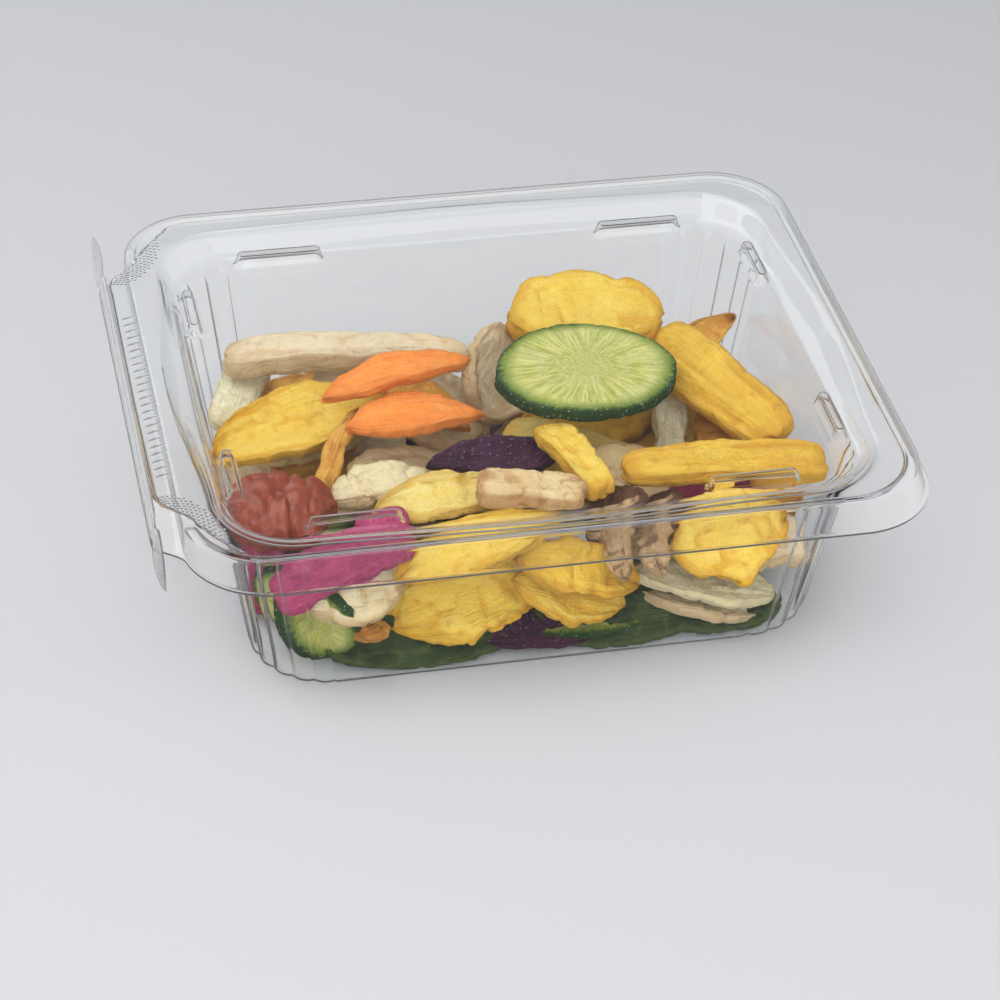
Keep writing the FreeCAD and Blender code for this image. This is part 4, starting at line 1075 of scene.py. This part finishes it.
@dataclass(frozen=True)
class Chip:
    """One dried chip: its plain solid's kind and measures, its finish and how rough its form is."""

    node: str
    kind: Kind
    length: float
    width: float
    thick: float
    bow: float
    cup: float
    finish: Finish
    ruffle: float = 0.6
    wrinkle: float = 0.7
    ridges: float = 0.35
    ragged: float = 1.0
    taper: float = 0.0
    place: tuple[float, ...] | None = None

    def outline(self, along: np.ndarray) -> np.ndarray:
        """Draw the chip's outline: a power curve, or a cap on a stem for a mushroom.

        Args:
            along: Places along the chip, from -1 to 1.

        Returns:
            The share of the full width at each place.
        """
        if self.kind is Kind.MUSHROOM:
            cap = np.sqrt(np.maximum(0.0, 1 - ((along + 0.42) / 0.6) ** 2))
            stem = 0.34 * np.sqrt(np.maximum(0.0, 1 - np.maximum(0.0, along) ** 6))
            return np.maximum(cap, np.where(along > -0.42, stem, 0.0))
        power = self.kind.value[0]
        share = np.maximum(0.0, 1 - np.abs(along) ** power) ** (1 / power)
        taper = {Kind.HORN: 0.72 - 0.28 * along, Kind.BOAT: 1.0 - 0.18 * along}
        return share * taper.get(self.kind, 1.0)

    def form(self, along: np.ndarray, angle: np.ndarray) -> tuple[np.ndarray, np.ndarray]:
        """Work out the plain form over a grid.

        The width follows the outline and the thickness falls off to the ends by a power; each section is
        a rounded box drawn by powers of cosine and sine; the whole is bowed by the square of the place
        along it and cupped by the square of the place across it.

        Args:
            along: Places along the chip, from -1 to 1, as a column.
            angle: Angles round it, as a row.

        Returns:
            The points, and how far across the chip each one is.
        """
        section, ends = self.kind.value[1:3]
        half_width = self.width / 2 * self.outline(along)
        half_thick = self.thick / 2 * np.maximum(0.0, 1 - np.abs(along) ** ends) ** (1 / ends)
        across = np.sign(np.cos(angle)) * np.abs(np.cos(angle)) ** (2 / section)
        rise = np.sign(np.sin(angle)) * np.abs(np.sin(angle)) ** (2 / section)
        x = self.length / 2 * along + 0 * angle
        y = half_width * across
        z = half_thick * rise - self.bow * along**2 + self.cup * across**2
        return np.stack([x, y, z], axis=-1), across

    def plain_points(self) -> np.ndarray:
        """Work out the corners of the chip's plain solid.

        Returns:
            The points, about the chip's own middle.
        """
        rings, spokes = self.kind.value[3:]
        along = -np.cos(math.pi * np.arange(1, rings) / rings)[:, None]
        angle = 2 * math.pi * (np.arange(spokes) + 0.5)[None, :] / spokes
        points, _ = self.form(along, angle)
        tips = np.array([[-self.length / 2, 0.0, -self.bow], [self.length / 2, 0.0, -self.bow]])
        return np.vstack([points.reshape(-1, 3), tips])

    def pose(self) -> tuple[np.ndarray, np.ndarray]:
        """Find the turn and the shift that take the plain solid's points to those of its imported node.

        The main axes of both sets of points give four first turns. Each is improved by matching every
        point to its nearest one and taking the best fit of the pairs, and the closest result is kept.
        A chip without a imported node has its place, yaw, pitch and roll given.

        Returns:
            The turn, as a matrix, and the shift.
        """
        if self.place:
            yaw, pitch, roll = (math.radians(angle) for angle in self.place[3:])
            turn = Matrix.Rotation(yaw, 3, "Z") @ Matrix.Rotation(-pitch, 3, "Y") @ Matrix.Rotation(roll, 3, "X")
            return np.array(turn), np.array(self.place[:3])
        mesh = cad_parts[self.node].data
        packed = np.zeros(len(mesh.vertices) * 3, np.float32)
        mesh.vertices.foreach_get("co", packed)
        target = np.unique((packed.reshape(-1, 3) / METRES).round(2), axis=0).astype(float)
        own = self.plain_points()
        best = (np.inf, np.eye(3), np.zeros(3))
        own_axes = np.linalg.svd(own - own.mean(0), full_matrices=False)[2]
        target_axes = np.linalg.svd(target - target.mean(0), full_matrices=False)[2]
        for signs in ((1, 1), (1, -1), (-1, 1), (-1, -1)):
            flip = np.diag([signs[0], signs[1], 1.0])
            turn = target_axes.T @ flip @ own_axes
            flip[2, 2] = np.sign(np.linalg.det(turn))
            turn = target_axes.T @ flip @ own_axes
            shift = target.mean(0) - turn @ own.mean(0)
            for _ in range(12):
                placed = own @ turn.T + shift
                distance = np.linalg.norm(placed[:, None] - target[None], axis=2)
                mates = target[distance.argmin(1)]
                u, _, vt = np.linalg.svd((own - own.mean(0)).T @ (mates - mates.mean(0)))
                handed = np.diag([1.0, 1.0, np.sign(np.linalg.det(vt.T @ u.T))])
                turn = vt.T @ handed @ u.T
                shift = mates.mean(0) - turn @ own.mean(0)
            error = float(np.linalg.norm(own @ turn.T + shift - mates, axis=1).mean())
            error += BACKWARDS_COST * (turn[0, 0] < 0.0)
            if error < best[0]:
                best = (error, turn, shift)
        if best[0] > POSE_ERROR:
            LOG.warning("%s: its pose is %.2f mm off", self.node, best[0])
        return best[1], best[2]

    def surface(self, seed: int) -> tuple[np.ndarray, dict[str, np.ndarray]]:
        """Work out the chip's dried form over a grid: the plain form, made uneven by smooth noise.

        Its edges swing in and out, its flat faces ruffle, most at the edges, and fine wrinkles and
        lengthwise ridges press into it.

        Args:
            seed: Number that picks its noise.

        Returns:
            The points, rings first and the two tips last, and the values stored for its finish.
        """
        along = -np.cos(math.pi * (np.arange(CHIP_RINGS) + 0.5) / CHIP_RINGS)[:, None]
        angle = 2 * math.pi * (np.arange(CHIP_SPOKES) + 0.5)[None, :] / CHIP_SPOKES
        points, across = self.form(along, angle)
        flat = along + 0 * angle
        wide = across + 0 * along
        side = np.sin(angle) + 0 * along
        mean_level = -self.bow * flat**2 + self.cup * wide**2

        def noise(scale_along: float, scale_wide: float, scale_side: float, pattern: int) -> np.ndarray:
            """Work out noise over the grid, stretched by three scales."""
            places = np.stack([flat * scale_along, wide * scale_wide, side * scale_side], axis=-1)
            return lattice_noise(places.reshape(-1, 3) + seed * 3.7 + pattern, seed + pattern).reshape(flat.shape)

        swing = noise(2.4, 0.8, 0.0, 1) + 0.5 * noise(6.0, 0.8, 0.2, 2)
        points[..., 1] *= 1.02 + DRYING.edge_swing * self.ragged * swing * np.abs(wide)
        points[..., 1] *= 1.0 - abs(self.taper) * (0.5 + 0.5 * np.sign(self.taper) * flat)
        points[..., 0] += DRYING.end_swing * self.ragged * self.width * noise(0.5, 2.2, 0.0, 3) * np.abs(flat) ** 2
        slimmer = 1.0 - DRYING.slimming * (0.5 + 0.5 * noise(1.6, 1.4, 0.6, 4))
        points[..., 2] = mean_level + (points[..., 2] - mean_level) * slimmer
        hollow = HOLLOWS[self.kind] * self.thick * (1.0 - wide**2) * (1.0 - flat**2)
        points[..., 2] -= hollow * np.clip(side * DRYING.hollow_edge, 0.0, 1.0)
        slender = np.minimum(1.0, DRYING.twist_width / self.width)
        twist = np.radians(DRYING.twist_degrees) * self.ragged * noise(0.7, 0.0, 0.0, 5) * slender
        points[..., 2] += points[..., 1] * np.sin(twist)
        points[..., 2] += self.ruffle * noise(1.9, 1.5, 0.0, 6) * (DRYING.flat_ruffle + DRYING.edge_ruffle * wide**2)
        normal = np.cross(np.gradient(points, axis=0), np.roll(points, -1, 1) - np.roll(points, 1, 1))
        normal /= np.maximum(np.linalg.norm(normal, axis=-1, keepdims=True), 1e-9)
        outward = np.sign((normal * (points - points.mean(axis=(0, 1)))).sum())
        normal *= outward
        grain = points.reshape(-1, 3)
        valleys = 1.0 - np.abs(lattice_noise(grain * 0.2 + 11.0, seed + 12))
        fine = lattice_noise(grain * 0.5, seed + 13)
        pores = lattice_noise(grain * 1.25, seed + 14)
        ridges = (noise(0.9, 4.0, 1.5, 15) + 0.5 * noise(2.6, 9.0, 1.5, 16)).ravel()
        press = -DRYING.valley_depth * valleys**DRYING.valley_power
        press = self.wrinkle * (press + DRYING.fine_depth * fine + DRYING.pore_depth * pores)
        press += self.ridges * DRYING.ridge_depth * ridges
        # How deep each place is pressed in, kept for the painted shade in the valleys.
        deep, high = np.percentile(press, (4, 96))
        painted_crease_shade = np.clip((high - press) / max(high - deep, 1e-6), 0.0, 1.0)
        fade = np.sqrt(np.maximum(0.0, 1.0 - flat**2)).reshape(-1, 1)
        points = grain + normal.reshape(-1, 3) * press[:, None] * fade
        tips = np.array([[sign * TIP_REACH * self.length / 2, 0.0, -self.bow] for sign in (-1, 1)])
        plan_y = self.outline(along) * wide
        power = self.kind.value[0]
        rim = (np.abs(flat) ** power + np.abs(plan_y) ** power) ** (1 / power)
        if self.kind is Kind.MUSHROOM:
            rim = np.maximum(1.0 - smooth_step(-0.6, -0.1, flat), 0.9 * np.abs(wide) ** 3 * (flat < 0.1))
        spin = np.arctan2(plan_y * self.width, flat * self.length)
        ray = np.stack([np.cos(spin) * 2.2, np.sin(spin) * 2.2, rim * 0.35], axis=-1).reshape(-1, 3)
        span = np.stack([flat * self.length / 20, wide * self.width / 20, np.sin(angle) + 0 * flat], axis=-1)
        values = {
            "rim": np.append(rim.ravel(), [1.0, 1.0]),
            "painted_crease_shade": np.append(painted_crease_shade, [0.5, 0.5]),
            "ray": np.vstack([ray, ray[:1], ray[-1:]]),
            "span": np.vstack([span.reshape(-1, 3), span[0, :1], span[-1, :1]]),
        }
        return np.vstack([points, tips]), values

    def build(self, seed: int, material: bpy.types.Material) -> Piece:
        """Make the chip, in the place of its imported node.

        Args:
            seed: Number that picks its noise.
            material: Its finish.

        Returns:
            The piece.
        """
        rows, columns = CHIP_RINGS, CHIP_SPOKES
        points, values = self.surface(seed)
        turn, shift = self.pose()
        points = points @ turn.T + shift
        faces = grid_faces(rows, columns, True)
        first, last = rows * columns, rows * columns + 1
        ring = np.arange(columns)
        end = (rows - 1) * columns + ring
        caps = [np.stack([np.roll(ring, -1), ring, np.full(columns, first)], axis=1),
                np.stack([end, np.roll(end, -1), np.full(columns, last)], axis=1)]
        faces = faces.tolist() + np.vstack(caps).tolist()
        piece = put_mesh(self.node + "_piece", points, faces)
        for name, value in values.items():
            add_attribute(piece, name, value)
        piece.data.materials.append(material)
        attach(piece, "tray")
        if not self.place:
            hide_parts(self.node)
        return piece


# Short names for the table below.
K, F = Kind, Finish

CHIPS = (
    Chip("cucumber_corner", K.DISC, 42, 32, 5, 1, 0, F.GREEN_SLICE, 0.4, 0.5, 0.1, 0.2),
    Chip("wedge_front_low", K.HORN, 28, 13, 8, 1.5, 0, F.AMBER),
    Chip("cassava_floor_left", K.BAR, 52, 30, 8, 3.5, 1.5, F.STRAW),
    Chip("pumpkin_floor_left", K.LENS, 54, 36, 9, 3.5, 3, F.YELLOW),
    Chip("cucumber_floor_left", K.DISC, 50, 36, 6, 3, 1, F.GREEN_SLICE, 0.4, 0.5, 0.1, 0.2),
    Chip("beet_floor_back", K.DISC, 46, 36, 7, 3, 1, F.DARK_BEET),
    Chip("banana_floor_middle", K.LENS, 54, 32, 9, 3.5, 3, F.CREAM),
    Chip("cucumber_floor_front", K.DISC, 50, 34, 5, 2, 1, F.GREEN_SLICE, 0.4, 0.5, 0.1, 0.2),
    Chip("potato_floor_right", K.BAR, 46, 28, 9, 3.5, 1.5, F.CREAM),
    Chip("jackfruit_floor_right", K.LENS, 48, 30, 9, 3.5, 3, F.GOLD),
    Chip("pumpkin_front_low", K.LENS, 42, 24, 8, 3, 2, F.YELLOW, 1, 1.2),
    Chip("pale_slab_low", K.LENS, 34, 22, 7, 1.5, 1, F.STRAW, 0.8, 0.8),
    Chip("taro_floor_front", K.BAR, 34, 24, 9, 3, 1.5, F.CREAM),
    Chip("pear_front_low", K.LENS, 32, 17, 7, 1.5, 1, F.YELLOW, 0.8, 0.6),
    Chip("pale_slab_mid", K.LENS, 40, 20, 7, 1.5, 1, F.IVORY, 0.9, 0.6),
    Chip("ginger_front_right", K.BAR, 20, 15, 8, 1, 0, F.STRAW),
    Chip("sweet_potato_left", K.LENS, 52, 32, 10, 4.5, 3, F.AMBER),
    Chip("taro_mid_left", K.BAR, 48, 24, 9, 4, 2, F.STRAW),
    Chip("banana_mid_left", K.LENS, 48, 28, 9, 4, 3, F.CREAM),
    Chip("jackfruit_mid_back", K.LENS, 50, 30, 10, 4, 3, F.GOLD),
    Chip("potato_mid_centre", K.BAR, 46, 24, 9, 4, 2, F.LEMON),
    Chip("pumpkin_mid_right", K.LENS, 48, 28, 9, 4, 3, F.YELLOW),
    Chip("sweet_potato_right", K.LENS, 42, 24, 8, 3, 3, F.AMBER),
    Chip("pumpkin_front_mid", K.LENS, 36, 16, 8, 2.5, 1.5, F.GOLD, 1, 0.8),
    Chip("banana_front_mid", K.DISC, 29, 24, 6.5, 1.5, 0.5, F.CREAM, 0.9, 0.9),
    Chip("jackfruit_front_long", K.BOAT, 44, 15, 8, 3, 2, F.YELLOW, 0.6, 0.5, 0.6),
    Chip("jackfruit_front_right", K.LENS, 31, 24, 8, 2, 2.5, F.YELLOW, 1.2, 0.9),
    Chip("mushroom_front", K.MUSHROOM, 28, 22, 8, 1, 0.5, F.MUSHROOM, 0.6, 0.9),
    Chip("mushroom_top", K.MUSHROOM, 29, 19, 7, 1, 0.5, F.MUSHROOM, 0.6, 0.9),
    Chip("beet_slab_front", K.BAR, 38, 13, 5, 0.8, 0, F.PINK_BEET),
    Chip("petal_right", K.LENS, 36, 18, 7, 2, 2, F.YELLOW, 0.9, 0.6, 0.5),
    Chip("pale_left", K.BAR, 26, 12, 6, 1, 0, F.IVORY),
    Chip("beet_left", K.BAR, 28, 12, 6, 1, 0, F.PINK_BEET),
    Chip("tan_slice_centre", K.LENS, 34, 22, 5.5, 2, 1.5, F.TOAST),
    Chip("beet_right", K.LENS, 26, 13, 8, 1, 0, F.PINK_BEET),
    Chip("stick_right", K.BAR, 28, 9, 6, 1, 0, F.IVORY),
    Chip("pumpkin_back_fold", K.LENS, 38, 24, 12, 4, 3, F.YELLOW),
    Chip("pale_fold_back", K.DISC, 30, 24, 7, 2, 2.5, F.STRAW, 0.9, 0.8),
    Chip("curl_right", K.HORN, 30, 16, 6, 3, 4, F.AMBER, 1.2, 0.8),
    Chip("pear_left_back", K.LENS, 40, 20, 7, 3, 2, F.CREAM),
    Chip("pumpkin_left", K.BOAT, 50, 25, 10, 4, 3, F.YELLOW, 1, 0.5, 0.4, taper=-0.2),
    Chip("square_left", K.BAR, 17, 15, 6, 1, 0, F.LEMON, 0.8, 0.5),
    Chip("tomato_left", K.LUMP, 27, 24, 16, 0, 0, F.TOMATO, 0.7, 1.5, 0.25),
    Chip("thin_curl_left", K.HORN, 34, 8, 6, 3, 0, F.AMBER),
    Chip("crease_slice", K.LENS, 31, 18, 9, 2, 2.5, F.CREAM, 1, 1.3, 0.5),
    Chip("apricot_mid", K.LENS, 27, 13, 6, 2, 1.5, F.AMBER),
    Chip("carrot_low", K.BOAT, 37, 14, 7, 3, 1, F.CARROT, 0.6, 0.5, 0.3),
    Chip("beet_dark_mid", K.LENS, 36, 15, 8, 1.5, 1, F.DARK_BEET, 0.8, 0.9, 0.4, taper=-0.3),
    Chip("jackfruit_centre", K.BOAT, 50, 16, 8, 3, 2, F.LEMON, 0.9, 0.7, 0.5, taper=0.45),
    Chip("tan_block", K.BAR, 27, 12, 7, 0.8, 0, F.TOAST),
    Chip("stick_centre", K.BAR, 29, 12, 7, 1.5, 0, F.YELLOW, taper=0.2),
    Chip("gold_front_right", K.BAR, 54, 14, 7, 1.5, 0.5, F.GOLD, 0.6, 0.5, 0.7, taper=-0.3),
    Chip("carrot_high", K.BOAT, 41, 15, 7, 3, 1, F.CARROT, 0.6, 0.5, 0.3, taper=-0.2),
    Chip("long_stick_back", K.BAR, 66, 12, 10, 3, 0, F.STRAW, 0.5, 0.5, 0.2, taper=0.4),
    Chip("gold_right", K.BAR, 60, 19, 9, 2.5, 0.5, F.GOLD, 0.7, 0.5, 0.8, taper=0.15),
    Chip("radish_top", K.DISC, 48, 38, 6.5, 0.8, 0, F.GREEN_SLICE, 0.3, 0.4, 0.1, 0.2),
    Chip("pumpkin_top", K.DISC, 42, 31, 9, 1.5, 1, F.YELLOW, 0.9, 1),
    Chip("foot_slice_corner", K.DISC, 33, 25, 4.5, 0.6, 0, F.GREEN_SLICE, 0.4, 0.5, 0.1, 0.2,
         place=(-60, -45, 15.5, -45, 0, 99)),
    # The dark slices and the dark purple chip along the front foot are partly real pieces and partly painted shade,
    # standing in for the shade at the pack's foot.
    Chip("foot_slice_left", K.DISC, 52, 17, 4.5, 1, 0.5, F.DARK_SKIN_AND_FOOT_SHADE, 0.5, 0.6, 0.2, 0.3,
         place=(-30, -49.2, 6.6, 1, 0, 40)),
    Chip("foot_slice_middle", K.DISC, 46, 16, 4.5, 1, 0.5, F.DARK_SKIN_AND_FOOT_SHADE, 0.5, 0.6, 0.2, 0.3,
         place=(20, -49.5, 6.8, -2, 0, 40)),
    Chip("foot_chip_purple", K.LENS, 38, 12, 5, 0.8, 0.5, F.DARK_BEET, 0.5, 0.6, 0.3, 0.4,
         place=(3, -51, 5.4, 2, 0, 26)),
    Chip("foot_slice_right", K.DISC, 34, 15, 4.5, 1, 0.5, F.DARK_SKIN_AND_FOOT_SHADE, 0.5, 0.6, 0.2, 0.3,
         place=(47, -49.8, 6.2, -4, 0, 30)),
)


@dataclass
class Filling:
    """The heap of dried chips."""

    chips: tuple[Chip, ...] = CHIPS

    def build(self) -> list[Piece]:
        """Make every chip, with one material for each finish."""
        materials = {finish: finish.value.material(finish.name.lower()) for finish in Finish}
        return [chip.build(seed, materials[chip.finish]) for seed, chip in enumerate(self.chips, start=1)]


# The studio


@dataclass
class Studio:
    """Pale floor, soft light and the camera at the photograph's angle."""

    floor_near: Colour = (0.52, 0.525, 0.54)
    # Painted shade: the floor's far colour is darker, for light falling off towards the back.
    floor_far_painted_shade: Colour = (0.405, 0.41, 0.422)
    # Painted light: the floor seen through the clear sheet is mixed towards this lighter grey, standing in for the
    # sheet's reflections.
    through_sheet_painted_light: Colour = (0.8, 0.8, 0.8)
    through_sheet_painted_light_share: float = 0.45
    # Painted shade: the share of the floor's colour kept in reflections in front of the pack, darkened there for the
    # pack's shadow.
    floor_mirrored: float = 0.3
    floor_uneven: float = 0.06
    far_way: Colour = (0.45, 1.0, 0.0)
    far_window: tuple[float, float] = (-0.3, 0.75)
    front_way: Colour = (-0.25, -1.0, 0.0)
    front_window: tuple[float, float] = (0.0, 0.07)
    overhead_window: tuple[float, float] = (0.1, 0.5)
    world_colour: Colour = (0.94, 0.96, 0.985)
    world_level: float = 0.56
    mirrored_level: float = 0.14
    aim: Colour = (0.0, 0.0, 0.03)
    focal_pixels: float = 3165.074
    elevation: float = 34.622
    azimuth: float = 13.745
    roll: float = 2.618
    offset: tuple[float, float] = (0.002, 0.04658)
    distance: float = 817.772
    aim_level: float = 56.6
    sensor: float = 36.0
    picture_pixels: float = 1000.0
    floor_half: float = 4000.0

    def floor(self) -> None:
        """Lay the floor, with a faint unevenness in its colour and painted shade that darkens it towards the back;
        painted light lightens it where it is seen through the clear sheet, and painted shade shows it dimmer in
        reflections in front of the pack.
        """
        half = self.floor_half
        points = np.array([[-half, -half, 0], [half, -half, 0], [half, half, 0], [-half, half, 0]])
        floor = put_mesh("floor", points, [[0, 1, 2, 3]], smooth=False)
        made, wiring = new_material("floor_card")
        place = wiring.place()
        # Painted shade: the floor darkens from front to back, standing in for light falling off away from the lamps.
        far = wiring.window(wiring.along(place, self.far_way), *self.far_window)
        colour = wiring.mixed(far, self.floor_near, self.floor_far_painted_shade)
        colour = wiring.mixed(wiring.scaled(wiring.noise(place, 3.0), self.floor_uneven), colour, (0.5, 0.5, 0.5))
        # Painted light: the floor seen through the clear sheet is lightened, standing in for the sheet's reflections.
        path = wiring.add("LightPath").outputs
        painted_light_through_sheet = wiring.scaled(path["Is Transmission Ray"], self.through_sheet_painted_light_share)
        colour = wiring.mixed(painted_light_through_sheet, colour, self.through_sheet_painted_light)
        # Painted shade: in reflections, the floor in front of the pack is darkened towards black, standing in for the
        # pack's shadow.
        front = wiring.window(wiring.along(place, self.front_way), *self.front_window)
        painted_reflection_shade = wiring.scaled(wiring.maths("MULTIPLY", wiring.mirrored(), front), 1.0 - self.floor_mirrored)
        colour = wiring.mixed(painted_reflection_shade, colour, (0.0, 0.0, 0.0))
        shader = wiring.add("BsdfPrincipled", {"Base Color": colour, "Roughness": 0.7, "Specular IOR Level": 0.2})
        wiring.add("OutputMaterial", {"Surface": shader.outputs[0]})
        floor.data.materials.append(made)

    def lamp(self, name: str, place: Colour, size: float, power: float, shine: float) -> None:
        """Hang one soft square lamp that faces the pack, and a weaker one in its place for the mirrored light.

        Args:
            name: The lamp's name.
            place: Its place, in metres.
            size: Its side, in metres.
            power: Its power, in watts.
            shine: The mirrored light's share of that power.
        """
        for suffix, share in (("", 1.0), ("_shine", shine)):
            light = bpy.data.lights.new(name + suffix, "AREA")
            light.shape = "SQUARE"
            light.size = size
            light.energy = power * share
            hung = bpy.data.objects.new(name + suffix, light)
            hung.location = place
            hung.rotation_mode = "QUATERNION"
            hung.rotation_quaternion = (Vector(self.aim) - Vector(place)).to_track_quat("-Z", "Y")
            hung.visible_glossy = suffix == "_shine"
            hung.visible_diffuse = suffix == ""
            bpy.context.scene.collection.objects.link(hung)

    def light(self) -> None:
        """Set the world's even light and the soft lamps."""
        world = bpy.data.worlds.new("studio_air")
        bpy.context.scene.world = world
        world.use_nodes = True
        wiring = Wiring(world.node_tree)
        wiring.tree.nodes.clear()
        height = wiring.along(wiring.add("TexCoord").outputs["Generated"], (0.0, 0.0, 1.0))
        overhead = wiring.maths("MULTIPLY", wiring.mirrored(), wiring.window(height, *self.overhead_window))
        level = wiring.add("MapRange", {"Value": overhead, "To Min": self.world_level, "To Max": self.mirrored_level})
        air = wiring.add("Background", {"Color": (*self.world_colour, 1.0), "Strength": level.outputs["Result"]})
        wiring.add("OutputWorld", {"Surface": air.outputs[0]})
        self.lamp("key", (-0.5, 0.2, 1.1), 1.2, 10.0, 0.55)
        self.lamp("fill", (-0.15, -1.1, 0.8), 1.4, 13.0, 0.12)
        self.lamp("side", (0.9, -0.3, 0.9), 1.2, 2.5, 0.1)

    def camera(self) -> None:
        """Stand the camera where the photograph was taken, its axis through the picture's middle."""
        a, e, r = (math.radians(value) for value in (self.azimuth, self.elevation, self.roll))
        ahead = np.array([math.sin(a) * math.cos(e), math.cos(a) * math.cos(e), -math.sin(e)])
        right = np.array([math.cos(a), -math.sin(a), 0.0])
        up = np.cross(right, ahead)
        rolled_right = math.cos(r) * right + math.sin(r) * up
        rolled_up = -math.sin(r) * right + math.cos(r) * up
        place = -self.distance * ahead + np.array([0.0, 0.0, self.aim_level])
        axis = ahead - self.offset[0] * rolled_right - self.offset[1] * rolled_up
        axis /= np.linalg.norm(axis)
        side = np.cross(axis, rolled_up)
        side /= np.linalg.norm(side)
        top = np.cross(side, axis)
        turn = np.stack([side, top, -axis], axis=1)
        data = bpy.data.cameras.new("camera")
        data.sensor_width = self.sensor
        data.lens = self.sensor * self.focal_pixels / self.picture_pixels
        data.clip_start = 0.01
        data.clip_end = 20.0
        camera = bpy.data.objects.new("camera", data)
        matrix = np.eye(4)
        matrix[:3, :3] = turn
        matrix[:3, 3] = place * METRES
        camera.matrix_world = Matrix(matrix.tolist())
        bpy.context.scene.collection.objects.link(camera)
        bpy.context.scene.camera = camera

    def build(self) -> None:
        """Set up the floor, the light and the camera."""
        bpy.context.scene.view_settings.view_transform = "Standard"
        self.floor()
        self.light()
        self.camera()


def main() -> None:
    """Build the pack's pieces and the studio."""
    logging.basicConfig(level=logging.INFO, format="%(message)s")
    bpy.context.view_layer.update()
    Tray().build()
    Lid().build()
    TearStrip().build()
    FlangeMarks().build()
    Filling().build()
    Studio().build()


if __name__ == "__main__":
    main()
